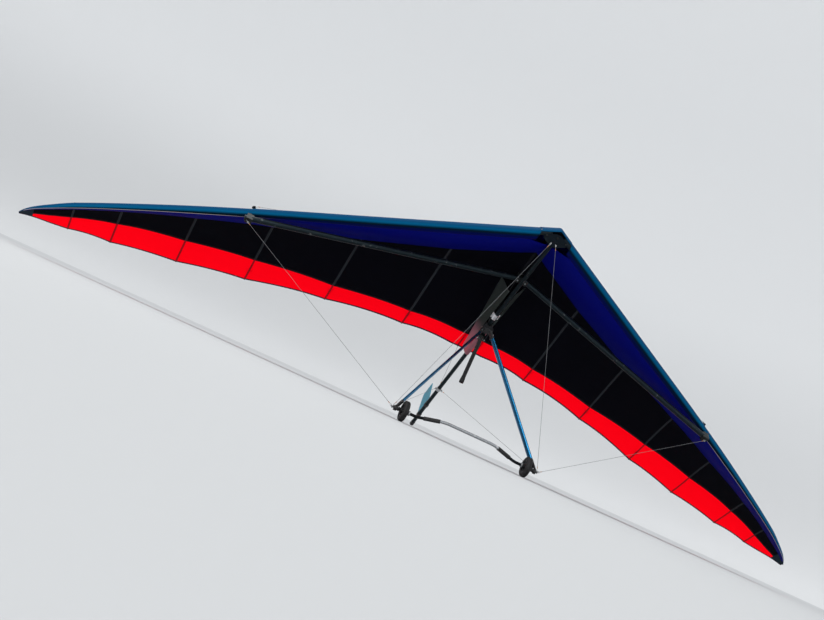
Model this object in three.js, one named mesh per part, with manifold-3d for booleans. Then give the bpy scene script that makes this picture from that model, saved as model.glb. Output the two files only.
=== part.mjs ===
// A flex-wing hang glider, standing parked on its two control-bar wheels and the end of its keel.
// Everything is drawn in the glider's own rigging frame (x to its left wing, y aft from the nose,
// z up from the keel's axis), in millimetres, and one group then pitches it up to its parked attitude.

import * as THREE from "three";
import { mergeVertices } from "three/addons/utils/BufferGeometryUtils.js";
import Module from "manifold-3d";

const wasm = await Module();
wasm.setup();

// Driving dimensions.

const GAP = 0.3; // between pieces that touch
const CLOTH = 3; // thickness of each sail panel
const KEEL = { radius: 21, front: 72, rear: 3260 };
const LEADING_EDGE = { radius: 26, tipRadius: 22, startX: 62, endX: 4250 };
const NOSE_BOLT_X = 105;
const CROSSBAR = { radius: 29, innerX: 22, outerX: 2640, centreY: 800, centreZ: 60, outerZ: -78 };
const APEX = { y: 1490, halfWidth: 38, z: -66, halfLength: 36 };
const CORNER = { x: 735, y: 1570, z: -1500 };
const DOWNTUBE = { width: 30, depth: 64, plug: 50 };
const BASEBAR = { radius: 14.5, endX: 694.7, kneeX: 500, middleX: 260, forward: 90 };
const WHEEL = { x: 648, radius: 100, width: 50, rimRadius: 60, boreRadius: 14.9, bossRadius: 24, bossHalf: 40 };
const KINGPOST = { y: 1400, base: 34, top: 1180, radius: 15 };
const REAR_TANG_Y = 2600;
const WIRE_RADIUS = 1.6;
const EYE_RADIUS = 10; // the ball at which a stay ends
const END_CAP_RADIUS = 24;
const FIN = { front: 2850, rear: 3140, height: 285, thickness: 8 };
const STRAP = { y: 1620, pinDrop: 48, length: 500, width: 40, webbing: 5, pinRadius: 6 };

// The sail's ribs, one row for each batten and the curved tip. Columns: x of the rib, y and z of the
// leading edge's centreline, y and z of the trailing edge, height of the crown over the chord,
// share of the chord that the undersurface covers, and that the trailing band covers.
const RIBS = [
  [0, 60, 0, 1990, 95, 196, 0.26, 0.11],
  [180, 158, 0, 2000, 98, 190, 0.28, 0.11],
  [730, 458, 5, 2062, 115, 165, 0.32, 0.125],
  [1550, 905, 10, 2270, 165, 142, 0.34, 0.165],
  [2380, 1357, 18, 2560, 225, 120, 0.31, 0.265],
  [3100, 1766, 30, 2790, 265, 100, 0.29, 0.35],
  [3800, 2190, 45, 2940, 262, 76, 0.27, 0.43],
  [4250, 2478, 56, 2985, 225, 56, 0.3, 0.4],
  [4400, 2585, 60, 2985, 200, 46, 0.32, 0.37],
  [4600, 2742, 66, 2972, 160, 26, 0.34, 0.3],
  [4700, 2845, 70, 2960, 124, 12, 0.36, 0.24],
  [4745, 2912, 72, 2952, 100, 4, 0.4, 0.2],
];
const SPAN_STEP = 140; // half the longest step between two sections of the sail
const TRAILING_HOLLOW = 22; // how far the trailing edge draws in between two battens
const POCKET_START_X = 165; // the leading edge's cloth begins here, beside the nose plates
const BELLY = 66; // depth of the undersurface's control points below the tube's centreline
const POCKET_TOP = 0.26; // where the leading edge's cloth ends on the crown (root of the chord share)
const POCKET_BELLY = 0.43; // and on the undersurface's curve
const UNDER_GAP = 2; // between the crown's cloth and the rear edge of the undersurface

// Geometry helpers.

const v = (x, y, z) => new THREE.Vector3(x, y, z);
const mix = (a, b, t) => a + (b - a) * t;

function paint(colour, roughness, metalness) {
  return new THREE.MeshStandardMaterial({ color: colour, roughness, metalness });
}

const TUBE = paint(0x8f9697, 0.4, 0.9);
const DOWNTUBE_FINISH = paint(0x9fb3bd, 0.3, 0.9);
const STEEL = paint(0xb4b8bb, 0.35, 1);
const PLASTIC = paint(0x15161a, 0.6, 0);
const RUBBER = paint(0x101012, 0.85, 0);
const CLOTH_BLUE = paint(0x0a1268, 0.7, 0);
const CLOTH_BLACK = paint(0x08090c, 0.75, 0);
const CLOTH_RED = paint(0xd2051c, 0.65, 0);
const CLOTH_EDGE = paint(0x2c5a70, 0.6, 0);
const POCKET_CLOTH = paint(0x3f3c3a, 0.8, 0);
const WEBBING = paint(0x141416, 0.9, 0);
const FIN_SKIN = paint(0x5b93a3, 0.4, 0);

const rig = new THREE.Group();

function add(name, geometry, material) {
  const mesh = new THREE.Mesh(geometry, material);
  mesh.name = name;
  rig.add(mesh);
  return mesh;
}

// Closed geometry from vertices and triangles, turned to face outwards.
function closed(points, triangles) {
  let volume = 0;
  for (const [a, b, c] of triangles) {
    volume += points[a].dot(new THREE.Vector3().crossVectors(points[b], points[c]));
  }
  const order = volume < 0 ? triangles.map(([a, b, c]) => [a, c, b]) : triangles;
  const geometry = new THREE.BufferGeometry();
  const coordinates = points.flatMap((p) => p.toArray());
  geometry.setAttribute("position", new THREE.Float32BufferAttribute(coordinates, 3));
  geometry.setIndex(order.flat());
  return geometry;
}

// A skin through rings of equal length, with its two ends filled from their middles.
function loft(rings) {
  const n = rings[0].length;
  const points = rings.flat();
  const triangles = [];
  for (let i = 0; i + 1 < rings.length; i++) {
    for (let j = 0; j < n; j++) {
      const a = i * n + j;
      const b = i * n + ((j + 1) % n);
      triangles.push([a, b, b + n], [a, b + n, a + n]);
    }
  }
  for (const end of [0, rings.length - 1]) {
    const middle = rings[end].reduce((s, p) => s.clone().add(p), v(0, 0, 0)).divideScalar(n);
    const m = points.push(middle) - 1;
    for (let j = 0; j < n; j++) {
      const pair = [end * n + j, end * n + ((j + 1) % n)];
      triangles.push(end === 0 ? [pair[1], pair[0], m] : [pair[0], pair[1], m]);
    }
  }
  return closed(points, triangles);
}

// A ring of points round a centre: outline gives [along side, along up] for each point.
function ring(centre, side, up, outline) {
  return outline.map(([s, t]) => centre.clone().addScaledVector(side, s).addScaledVector(up, t));
}

function circle(radius, sides) {
  return Array.from({ length: sides }, (_, i) => {
    const a = (i / sides) * 2 * Math.PI;
    return [radius * Math.cos(a), radius * Math.sin(a)];
  });
}

// A tube of round section along straight stretches, with a mitre at each bend. radii has one value a point.
function tube(path, radii, sides = 20, upHint = v(0, 0, 1)) {
  const rings = path.map((p, i) => {
    const before = i > 0 ? p.clone().sub(path[i - 1]).normalize() : null;
    const after = i + 1 < path.length ? path[i + 1].clone().sub(p).normalize() : null;
    const along = (before ?? after).clone().add(after ?? before).normalize();
    const side = new THREE.Vector3().crossVectors(along, upHint).normalize();
    const up = new THREE.Vector3().crossVectors(side, along).normalize();
    return ring(p, side, up, circle(radii[i] ?? radii[0], sides));
  });
  return loft(rings);
}

const rod = (a, b, radius, sides = 16, hint = v(0, 0, 1)) => tube([a, b], [radius, radius], sides, hint);

function box(x0, x1, y0, y1, z0, z1) {
  const g = new THREE.BoxGeometry(x1 - x0, y1 - y0, z1 - z0);
  return g.translate((x0 + x1) / 2, (y0 + y1) / 2, (z0 + z1) / 2);
}

const ball = (p, radius = EYE_RADIUS) => new THREE.SphereGeometry(radius, 12, 8).translate(p.x, p.y, p.z);

// An outline of [first, second] points, drawn flat and pushed to a thickness, its plane given by two axes.
function plate(outline, first, second, origin, thickness, holes = []) {
  const shape = new THREE.Shape(outline.map(([a, b]) => new THREE.Vector2(a, b)));
  for (const [a, b, r] of holes) {
    const hole = new THREE.Path();
    hole.absarc(a, b, r, 0, 2 * Math.PI, true);
    shape.holes.push(hole);
  }
  const g = new THREE.ExtrudeGeometry(shape, { depth: thickness, bevelEnabled: false, curveSegments: 16 });
  const normal = new THREE.Vector3().crossVectors(first, second);
  g.applyMatrix4(new THREE.Matrix4().makeBasis(first, second, normal));
  return g.translate(origin.x, origin.y, origin.z);
}

// Joining and cutting.

function solid(geometry) {
  const bare = geometry.clone();
  bare.deleteAttribute("normal");
  bare.deleteAttribute("uv");
  const merged = mergeVertices(bare, 1e-3);
  return new wasm.Manifold(
    new wasm.Mesh({
      numProp: 3,
      vertProperties: new Float32Array(merged.attributes.position.array),
      triVerts: new Uint32Array(merged.index.array),
    }),
  );
}

function geometryOf(made) {
  const mesh = made.getMesh();
  const g = new THREE.BufferGeometry();
  const xyz = new Float32Array(mesh.numVert * 3);
  for (let i = 0; i < mesh.numVert; i++) {
    for (let k = 0; k < 3; k++) xyz[3 * i + k] = mesh.vertProperties[i * mesh.numProp + k];
  }
  g.setAttribute("position", new THREE.BufferAttribute(xyz, 3));
  g.setIndex(new THREE.BufferAttribute(mesh.triVerts, 1));
  return g;
}

const join = (...shapes) => geometryOf(shapes.map(solid).reduce((a, b) => a.add(b)));
const cut = (shape, ...tools) => geometryOf(tools.map(solid).reduce((a, b) => a.subtract(b), solid(shape)));

// Both sides of the glider: side is 1 for the glider's left wing and -1 for its right one.
const SIDES = [
  ["left", 1],
  ["right", -1],
];

// Reading the sail's ribs.

// Hermite value of a column of RIBS at x, with slopes taken from the neighbouring rows.
function ribValue(column, x) {
  const last = RIBS.length - 1;
  let i = RIBS.findIndex((r) => r[0] > x) - 1;
  if (i < 0) i = x >= RIBS[last][0] ? last - 1 : 0;
  const slope = (k) => {
    const a = RIBS[Math.max(0, k - 1)];
    const b = RIBS[Math.min(last, k + 1)];
    return (b[column] - a[column]) / (b[0] - a[0]);
  };
  const width = RIBS[i + 1][0] - RIBS[i][0];
  const t = (x - RIBS[i][0]) / width;
  const [p, q] = [RIBS[i][column], RIBS[i + 1][column]];
  const [m, n] = [slope(i) * width, slope(i + 1) * width];
  const [t2, t3] = [t * t, t * t * t];
  return p * (2 * t3 - 3 * t2 + 1) + m * (t3 - 2 * t2 + t) + q * (3 * t2 - 2 * t3) + n * (t3 - t2);
}

// How far x lies between its two battens, as 0 at each and 1 midway.
function betweenBattens(x) {
  const i = Math.max(0, RIBS.findIndex((r) => r[0] > x) - 1);
  if (i + 1 >= RIBS.length || x >= RIBS[RIBS.length - 1][0]) return 0;
  const t = (x - RIBS[i][0]) / (RIBS[i + 1][0] - RIBS[i][0]);
  return 4 * t * (1 - t);
}

const tubeRadius = (x) => (x < CROSSBAR.outerX ? LEADING_EDGE.radius : LEADING_EDGE.tipRadius);

// One section of the sail, in a plane along the keel: nose point, trailing point and crown.
function section(x) {
  const slope = (ribValue(1, x + 1) - ribValue(1, x - 1)) / 2;
  const reach = (tubeRadius(x) + 2 * GAP + CLOTH) * Math.hypot(1, slope);
  const bay = x > 180 && x < 4250 ? TRAILING_HOLLOW * betweenBattens(x) : 0;
  const tipShare = THREE.MathUtils.clamp((x - 4250) / 495, 0, 1);
  const noseY = ribValue(1, x) - mix(reach, 8, tipShare);
  return {
    noseY,
    noseZ: ribValue(2, x),
    rearY: ribValue(3, x) - bay,
    rearZ: ribValue(4, x),
    crown: ribValue(5, x),
    under: ribValue(6, x),
    band: ribValue(7, x),
  };
}

// The crown's rise over the chord for w, the square root of the share of the chord: 1 at its highest.
const crownRise = (w) => (w * (1 - w * w) ** 1.5) / 0.3248;

function upper(x, w) {
  const s = section(x);
  const share = w * w;
  return v(x, mix(s.noseY, s.rearY, share), mix(s.noseZ, s.rearZ, share) + s.crown * crownRise(w));
}

// The undersurface is a cubic curve from the nose, round the tube's belly, up to the crown's cloth.
function lower(x, t) {
  const s = section(x);
  const chord = s.rearY - s.noseY;
  const depth = BELLY * Math.min(1, chord / 520);
  const end = upper(x, Math.sqrt(s.under));
  const curve = new THREE.CubicBezierCurve(
    new THREE.Vector2(s.noseY, s.noseZ),
    new THREE.Vector2(s.noseY, s.noseZ - depth),
    new THREE.Vector2(s.noseY + 0.35 * s.under * chord, s.noseZ - depth),
    new THREE.Vector2(end.y, end.z - 2 * CLOTH - UNDER_GAP),
  );
  const p = curve.getPoint(t);
  return v(x, p.x, p.y);
}

// Stations along the half span, shared by all panels: every rib, and no further apart than SPAN_STEP.
const GRID = RIBS.slice(1).flatMap((row, i) => {
  const from = RIBS[i][0];
  const n = Math.ceil((row[0] - from) / (from < 4200 ? 2 * SPAN_STEP : SPAN_STEP / 2));
  return Array.from({ length: n }, (_, k) => mix(from, row[0], (k + 1) / n));
});

const stations = (x0, x1) => [x0, ...GRID.filter((x) => x > x0 + 2 && x < x1 - 2), x1];

// A sail panel: at(x, q) is its outer face, q from 0 to 1 along the chord, and inward(x, q) the side
// on which its cloth's thickness lies.
function panel(xs, rows, at, inward) {
  const outer = xs.map((x) => rows.map((q) => at(x, q)));
  const inside = (x, i) => rows.map((q, j) => outer[i][j].clone().addScaledVector(inward(x, q), CLOTH));
  const inner = xs.map(inside);
  const n = rows.length;
  const m = xs.length;
  const points = [...outer.flat(), ...inner.flat()];
  const second = n * m;
  const triangles = [];
  const quad = (a, b, c, d) => triangles.push([a, b, c], [a, c, d]);
  for (let i = 0; i + 1 < m; i++) {
    for (let j = 0; j + 1 < n; j++) {
      const a = i * n + j;
      quad(a, a + n, a + n + 1, a + 1);
      quad(second + a, second + a + 1, second + a + n + 1, second + a + n);
    }
  }
  for (let i = 0; i + 1 < m; i++) {
    const first = i * n;
    const last = i * n + n - 1;
    quad(first, second + first, second + first + n, first + n);
    quad(last, last + n, second + last + n, second + last);
  }
  for (let j = 0; j + 1 < n; j++) {
    const tip = (m - 1) * n + j;
    quad(j, j + 1, second + j + 1, second + j);
    quad(tip, second + tip, second + tip + 1, tip + 1);
  }
  return closed(points, triangles);
}

const spread = (a, b, n) => Array.from({ length: n + 1 }, (_, i) => mix(a, b, i / n));
const mirror = (geometry, side) => (side < 0 ? flipX(geometry) : geometry);

function flipX(geometry) {
  const g = geometry.index ? geometry.toNonIndexed() : geometry.clone();
  const p = g.attributes.position;
  const xyz = [];
  for (let i = 0; i < p.count; i += 3) {
    for (const k of [i, i + 2, i + 1]) xyz.push(-p.getX(k), p.getY(k), p.getZ(k));
  }
  const made = new THREE.BufferGeometry();
  made.setAttribute("position", new THREE.Float32BufferAttribute(xyz, 3));
  return mergeVertices(made, 1e-4);
}

// Unit vector into the cloth from a curve's outer face, square to the curve in the section's plane.
function inwardOf(curve, sign) {
  return (x, q) => {
    const a = curve(x, Math.max(0, q - 1e-3));
    const b = curve(x, Math.min(1, q + 1e-3));
    const along = b.sub(a).normalize();
    return v(0, -along.z * sign, along.y * sign);
  };
}

// Sail.

const leadingEdgeAt = (x) => v(x, ribValue(1, x), ribValue(2, x));
const bandStart = (x) => Math.sqrt(1 - section(x).band);
const TIP_X = RIBS[RIBS.length - 1][0];
const TOP_EYE = v(0, 150, 37); // where the front upper stay leaves the nose, through the crown
const SEAM = 0.4; // clear space at a seam between two panels, in millimetres along the chord

// A length along the chord as a change of w.
const asShare = (x, w, length) => length / (2 * w * (section(x).rearY - section(x).noseY));

function upperPanel(x0, from, to, steps) {
  const at = (x, q) => upper(x, mix(from(x), to(x), q));
  return panel(stations(x0, TIP_X), spread(0, 1, steps), at, inwardOf(at, -1));
}

const crownFrom = (x) => POCKET_TOP + asShare(x, POCKET_TOP, x > POCKET_START_X - 1 ? SEAM : 0);
const crownTo = (x) => bandStart(x) - asShare(x, bandStart(x), SEAM);

// The leading edge's cloth: from the crown forward round the nose and under the tube.
function pocketCurve(x, q) {
  const top = 0.5;
  if (q < top) return upper(x, mix(POCKET_TOP, 0, q / top));
  return lower(x, mix(0, POCKET_BELLY, (q - top) / (1 - top)));
}

// The undersurface keeps clear of the nose plates: beside them it begins further aft.
const UNDER_START_X = 24;
const UNDER_START_Y = 250;
function underFrom(x) {
  const seam = POCKET_BELLY + 0.0025;
  if (x >= POCKET_START_X + 60) return seam;
  let [low, high] = [seam, 0.95];
  for (let i = 0; i < 24; i++) {
    const middle = (low + high) / 2;
    if (lower(x, middle).y < UNDER_START_Y) low = middle;
    else high = middle;
  }
  return Math.max(seam, high);
}

const lowerInward = inwardOf((x, q) => lower(x, q), 1);
const kingpostHole = rod(v(0, KINGPOST.y, 60), v(0, KINGPOST.y, 300), KINGPOST.radius + 9, 20, v(1, 0, 0));
const frontStayHole = rod(TOP_EYE, v(0, KINGPOST.y - 26, KINGPOST.top + 14), 7, 12, v(1, 0, 0));

for (const [name, side] of SIDES) {
  const bolt = leadingEdgeAt(CROSSBAR.outerX);
  const boltHole = rod(v(bolt.x, bolt.y, -120), v(bolt.x, bolt.y, 160), 14, 16, v(1, 0, 0));
  const crown = upperPanel(GAP, crownFrom, crownTo, 9);
  const band = upperPanel(GAP, bandStart, () => 1, 3);
  const pocketRows = [...spread(0, 0.5, 5), ...spread(0.5, 1, 5).slice(1)];
  const pocket = panel(stations(POCKET_START_X, TIP_X), pocketRows, pocketCurve, inwardOf(pocketCurve, 1));
  const under = panel(
    stations(UNDER_START_X, TIP_X - 45),
    spread(0, 1, 6),
    (x, q) => lower(x, mix(underFrom(x), 1, q)),
    (x, q) => lowerInward(x, mix(underFrom(x), 1, q)),
  );
  add(`sail_crown_${name}`, mirror(cut(crown, kingpostHole, frontStayHole), side), CLOTH_BLACK);
  add(`sail_trailing_band_${name}`, mirror(band, side), CLOTH_RED);
  add(`sail_leading_edge_${name}`, mirror(cut(pocket, boltHole), side), CLOTH_EDGE);
  add(`sail_undersurface_${name}`, mirror(under, side), CLOTH_BLUE);
}

// Airframe.

const keel = rod(v(0, KEEL.front, 0), v(0, KEEL.rear, 0), KEEL.radius, 24);
const NOSE_PLATE = { front: 62, rear: 215, z: LEADING_EDGE.radius + 2 * GAP, thickness: 4, boltRadius: 5 };
const sideBolt = leadingEdgeAt(NOSE_BOLT_X);
const noseBolts = [v(0, 98, 0), sideBolt, sideBolt.clone().setX(-NOSE_BOLT_X)];
const boltThrough = (p, radius, low, high) =>
  rod(v(p.x, p.y, low), v(p.x, p.y, high), radius, 12, v(1, 0, 0));
const noseHoles = noseBolts.map((p) => boltThrough(p, NOSE_PLATE.boltRadius + GAP, -90, 90));
add("keel_tube", cut(keel, noseHoles[0]), TUBE);

const capProfile = [
  [-40, END_CAP_RADIUS],
  [12, END_CAP_RADIUS],
  [16, END_CAP_RADIUS - 4],
];
const capRings = capProfile.map(([y, r]) =>
  ring(v(0, KEEL.rear + y, 0), v(1, 0, 0), v(0, 0, 1), circle(r, 24)),
);
const capCore = rod(v(0, KEEL.rear - 60, 0), v(0, KEEL.rear + GAP, 0), KEEL.radius + GAP, 24);
add("keel_end_cap", cut(loft(capRings), capCore), PLASTIC);

for (const [name, side] of SIDES) {
  const xs = stations(LEADING_EDGE.startX, LEADING_EDGE.endX);
  const bolt = leadingEdgeAt(CROSSBAR.outerX);
  const spar = tube(xs.map(leadingEdgeAt), xs.map(tubeRadius), 16);
  const bored = cut(spar, noseHoles[1], boltThrough(bolt, 6 + GAP, -120, 160));
  add(`leading_edge_tube_${name}`, mirror(bored, side), TUBE);
}

// Nose plates: one above and one below the three tubes, on bolts that pass through them.
const noseOutline = [
  [-20, NOSE_PLATE.front],
  [20, NOSE_PLATE.front],
  [126, 118],
  [120, 160],
  [30, NOSE_PLATE.rear],
  [-30, NOSE_PLATE.rear],
  [-120, 160],
  [-126, 118],
];
const nosePlate = (z) => plate(noseOutline, v(1, 0, 0), v(0, 1, 0), v(0, 0, z), NOSE_PLATE.thickness);
const FRONT_EYES = [v(24, 170, -37), v(-24, 170, -37)];
add(
  "nose_plate_lower",
  join(
    nosePlate(-NOSE_PLATE.z - NOSE_PLATE.thickness),
    ...noseBolts.map((p) => boltThrough(p, NOSE_PLATE.boltRadius, -NOSE_PLATE.z - 1, NOSE_PLATE.z + 14)),
    ...noseBolts.map((p) => boltThrough(p, 9, -NOSE_PLATE.z - 10, -NOSE_PLATE.z - 1)),
    ...FRONT_EYES.map((p) => ball(p)),
  ),
  STEEL,
);
add("nose_plate_upper", join(cut(nosePlate(NOSE_PLATE.z), ...noseHoles), ball(TOP_EYE)), STEEL);

// The nose cone closes the gap between the two halves of the leading edge.
const coneStations = spread(-POCKET_START_X + SEAM, POCKET_START_X - SEAM, 8);
const coneCurve = (x, q) => {
  const p = pocketCurve(Math.max(26, Math.abs(x)), mix(0.05, 0.6, q));
  const lift = 3.6;
  return v(x, p.y - lift, p.z + lift * (1 - q));
};
const coneNose = 4;
const coneAt = (x, q) => {
  const p = coneCurve(x, q);
  const near = Math.max(0, 1 - Math.abs(x) / 60);
  return v(x, p.y - coneNose * near * q, p.z);
};
add("nose_cone", panel(coneStations, spread(0, 1, 6), coneAt, inwardOf(coneAt, 1)), CLOTH_EDGE);

// Crossbar: two halves that meet over the keel and bolt below the leading edges.
const crossbarEnd = leadingEdgeAt(CROSSBAR.outerX).setZ(CROSSBAR.outerZ);
for (const [name, side] of SIDES) {
  const inner = v(CROSSBAR.innerX, CROSSBAR.centreY, CROSSBAR.centreZ);
  const along = crossbarEnd.clone().sub(inner).normalize();
  const outer = crossbarEnd.clone().addScaledVector(along, 45);
  const spar = cut(rod(inner, outer, CROSSBAR.radius, 20), boltThrough(crossbarEnd, 6 + GAP, -160, 40));
  add(`crossbar_${name}`, mirror(spar, side), TUBE);
}

const CENTRE_PLATE = {
  low: CROSSBAR.centreZ - CROSSBAR.radius - 9,
  high: CROSSBAR.centreZ + CROSSBAR.radius + 6,
};
add(
  "crossbar_centre_bracket",
  join(
    box(-60, 60, CROSSBAR.centreY - 34, CROSSBAR.centreY + 34, KEEL.radius + GAP, CENTRE_PLATE.low + 3),
    box(-8, 8, CROSSBAR.centreY - 40, CROSSBAR.centreY + 40, KEEL.radius + GAP, CENTRE_PLATE.high + 3),
    box(-60, 60, CROSSBAR.centreY - 34, CROSSBAR.centreY + 34, CENTRE_PLATE.high, CENTRE_PLATE.high + 3),
  ),
  STEEL,
);

const pocketTop = upper(CROSSBAR.outerX, 0.2).z;
const SIDE_EYES = {
  low: v(crossbarEnd.x + 16, crossbarEnd.y, CROSSBAR.outerZ - CROSSBAR.radius - 14),
  high: v(crossbarEnd.x, crossbarEnd.y, pocketTop + 26),
};
for (const [name, side] of SIDES) {
  const p = crossbarEnd;
  const underTube = leadingEdgeAt(p.x).z - LEADING_EDGE.radius - GAP;
  const crossbarTop = CROSSBAR.outerZ + CROSSBAR.radius + 3;
  const crossbarFoot = CROSSBAR.outerZ - CROSSBAR.radius - 3;
  const fitting = join(
    boltThrough(p, 6, crossbarFoot - 6, pocketTop + 22),
    boltThrough(p, 12, crossbarTop, underTube),
    box(p.x - 34, p.x + 30, p.y - 24, p.y + 24, crossbarTop, crossbarTop + 4),
    box(p.x - 34, p.x + 34, p.y - 24, p.y + 24, crossbarFoot - 5, crossbarFoot),
    ball(SIDE_EYES.low),
    ball(SIDE_EYES.high),
  );
  add(`crossbar_joint_${name}`, mirror(fitting, side), STEEL);
}

// Control frame.

// A streamlined section, round in front and drawn out behind: [across, along] with along towards the tail.
function streamline(width, depth) {
  const n = 20;
  return Array.from({ length: n }, (_, i) => {
    const a = (i / n) * 2 * Math.PI;
    const along = -Math.cos(a);
    const taper = along > 0 ? 1 - 0.35 * along : 1;
    return [(width / 2) * Math.sin(a) * taper, (depth / 2) * along];
  });
}

function streamlined(a, b, width, depth) {
  const along = b.clone().sub(a).normalize();
  const across = new THREE.Vector3().crossVectors(along, v(0, 1, 0)).normalize();
  const aft = new THREE.Vector3().crossVectors(across, along).normalize();
  if (aft.y < 0) aft.negate();
  const outline = streamline(width, depth);
  return loft([ring(a, across, aft, outline), ring(b, across, aft, outline)]);
}

const frameTop = v(APEX.halfWidth, APEX.y, APEX.z);
const frameFoot = v(CORNER.x, CORNER.y, CORNER.z);
const frameDown = frameFoot.clone().sub(frameTop).normalize();
const plugTop = frameFoot.clone().addScaledVector(frameDown, -DOWNTUBE.plug);
const plugFoot = frameTop.clone().addScaledVector(frameDown, 34);

// The apex bracket is a saddle under the keel, with a plug for each downtube.
const saddle = new THREE.Shape();
saddle.moveTo(-30, 16);
saddle.lineTo(-KEEL.radius - GAP, 16);
saddle.lineTo(-KEEL.radius - GAP, 0);
saddle.absarc(0, 0, KEEL.radius + GAP, Math.PI, 2 * Math.PI, false);
saddle.lineTo(KEEL.radius + GAP, 16);
saddle.lineTo(30, 16);
saddle.lineTo(58, APEX.z + 14);
saddle.lineTo(58, APEX.z - 8);
saddle.lineTo(-58, APEX.z - 8);
saddle.lineTo(-58, APEX.z + 14);
saddle.closePath();
const saddleBlock = new THREE.ExtrudeGeometry(saddle, {
  depth: 2 * APEX.halfLength,
  bevelEnabled: false,
  curveSegments: 12,
});
saddleBlock.applyMatrix4(new THREE.Matrix4().makeBasis(v(1, 0, 0), v(0, 0, 1), v(0, -1, 0)));
saddleBlock.translate(0, APEX.y + APEX.halfLength, 0);
const apexPlugs = SIDES.map(([, side]) => {
  const end = plugFoot.clone().addScaledVector(frameDown, -GAP);
  return mirror(streamlined(frameTop, end, DOWNTUBE.width, DOWNTUBE.depth), side);
});
add("apex_bracket", join(saddleBlock, ...apexPlugs), PLASTIC);

const CORNER_EYE = v(CORNER.x + 34, CORNER.y, CORNER.z - 6);
for (const [name, side] of SIDES) {
  const shaft = streamlined(plugFoot, plugTop, DOWNTUBE.width, DOWNTUBE.depth);
  add(`downtube_${name}`, mirror(shaft, side), DOWNTUBE_FINISH);
  const plugEnd = plugTop.clone().addScaledVector(frameDown, GAP);
  const corner = join(
    streamlined(plugEnd, frameFoot, DOWNTUBE.width + 2, DOWNTUBE.depth + 2),
    rod(v(BASEBAR.endX + GAP, CORNER.y, CORNER.z), v(CORNER.x + 10, CORNER.y, CORNER.z), 21),
    box(CORNER.x - 12, CORNER.x + 18, CORNER.y - 16, CORNER.y + 16, CORNER.z - 26, CORNER.z + 12),
    box(CORNER.x + 10, CORNER.x + 34, CORNER.y - 5, CORNER.y + 5, CORNER.z - 11, CORNER.z - 1),
    ball(CORNER_EYE),
  );
  add(`corner_bracket_${name}`, mirror(corner, side), PLASTIC);
}

// The base bar is bent forward in its middle and straight where the wheels turn.
const barHalf = [
  [BASEBAR.endX, 0],
  [BASEBAR.kneeX + 40, 0],
  [BASEBAR.kneeX, 6],
  [BASEBAR.kneeX - 40, 20],
  [BASEBAR.middleX + 40, BASEBAR.forward - 14],
  [BASEBAR.middleX, BASEBAR.forward - 4],
  [BASEBAR.middleX - 40, BASEBAR.forward],
];
const barPath = [...barHalf.map(([x, f]) => [-x, f]), ...barHalf.slice().reverse()];
const barLine = barPath.map(([x, f]) => v(x, CORNER.y - f, CORNER.z));
add("base_bar", tube(barLine, [BASEBAR.radius], 20), DOWNTUBE_FINISH);
for (const [name, side] of SIDES) {
  const bar = barHalf.slice(3, 5).map(([x, f]) => v(x, CORNER.y - f, CORNER.z));
  const along = bar[1].clone().sub(bar[0]);
  const [a, b] = [0.04, 0.96].map((t) => bar[0].clone().addScaledVector(along, t));
  const grip = cut(rod(a, b, BASEBAR.radius + 5, 20), rod(bar[0], bar[1], BASEBAR.radius + GAP, 20));
  add(`grip_${name}`, mirror(grip, side), RUBBER);
}

// Wheels, and the collars that keep them in place.

function lathe(profile, sides, x) {
  const g = new THREE.LatheGeometry(profile.map(([r, h]) => new THREE.Vector2(r, h)), sides);
  g.rotateZ(-Math.PI / 2);
  return g.translate(x, CORNER.y, CORNER.z);
}

for (const [name, side] of SIDES) {
  const [r, h, rim] = [WHEEL.radius, WHEEL.width / 2, WHEEL.rimRadius + GAP];
  const tread = [
    [rim, -h + 4],
    [rim + 8, -h],
    [r - 16, -h],
    [r - 5, -h + 6],
    [r, -h + 16],
    [r, h - 16],
    [r - 5, h - 6],
    [r - 16, h],
    [rim + 8, h],
    [rim, h - 4],
    [rim, -h + 4],
  ];
  add(`wheel_tyre_${name}`, mirror(solidLathe(tread, 48), side), RUBBER);
  add(`wheel_hub_${name}`, mirror(hub(), side), PLASTIC);
  const collar = [
    [BASEBAR.radius + GAP, -6],
    [24, -6],
    [24, 6],
    [BASEBAR.radius + GAP, 6],
    [BASEBAR.radius + GAP, -6],
  ];
  const collarX = WHEEL.x - WHEEL.bossHalf - 12;
  add(`wheel_collar_${name}`, mirror(solidLathe(collar, 24, collarX), side), STEEL);
}

function solidLathe(profile, sides, x = WHEEL.x) {
  return geometryOf(solid(lathe(profile, sides, x)));
}

function hub() {
  const disc = new THREE.Shape();
  disc.absarc(0, 0, WHEEL.rimRadius, 0, 2 * Math.PI, false);
  const holes = [[0, 0, WHEEL.boreRadius]];
  for (let i = 0; i < 5; i++) {
    const a = (i / 5) * 2 * Math.PI;
    holes.push([40 * Math.cos(a), 40 * Math.sin(a), 11]);
  }
  for (const [a, b, r] of holes) {
    const hole = new THREE.Path();
    hole.absarc(a, b, r, 0, 2 * Math.PI, true);
    disc.holes.push(hole);
  }
  const web = new THREE.ExtrudeGeometry(disc, { depth: 30, bevelEnabled: false, curveSegments: 24 });
  web.applyMatrix4(new THREE.Matrix4().makeBasis(v(0, 1, 0), v(0, 0, 1), v(1, 0, 0)));
  web.translate(WHEEL.x - 15, CORNER.y, CORNER.z);
  const boss = [
    [WHEEL.boreRadius, -WHEEL.bossHalf],
    [WHEEL.bossRadius, -WHEEL.bossHalf],
    [WHEEL.bossRadius, WHEEL.bossHalf],
    [WHEEL.boreRadius, WHEEL.bossHalf],
    [WHEEL.boreRadius, -WHEEL.bossHalf],
  ];
  return join(web, lathe(boss, 48, WHEEL.x));
}

// Kingpost and its fittings.

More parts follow.
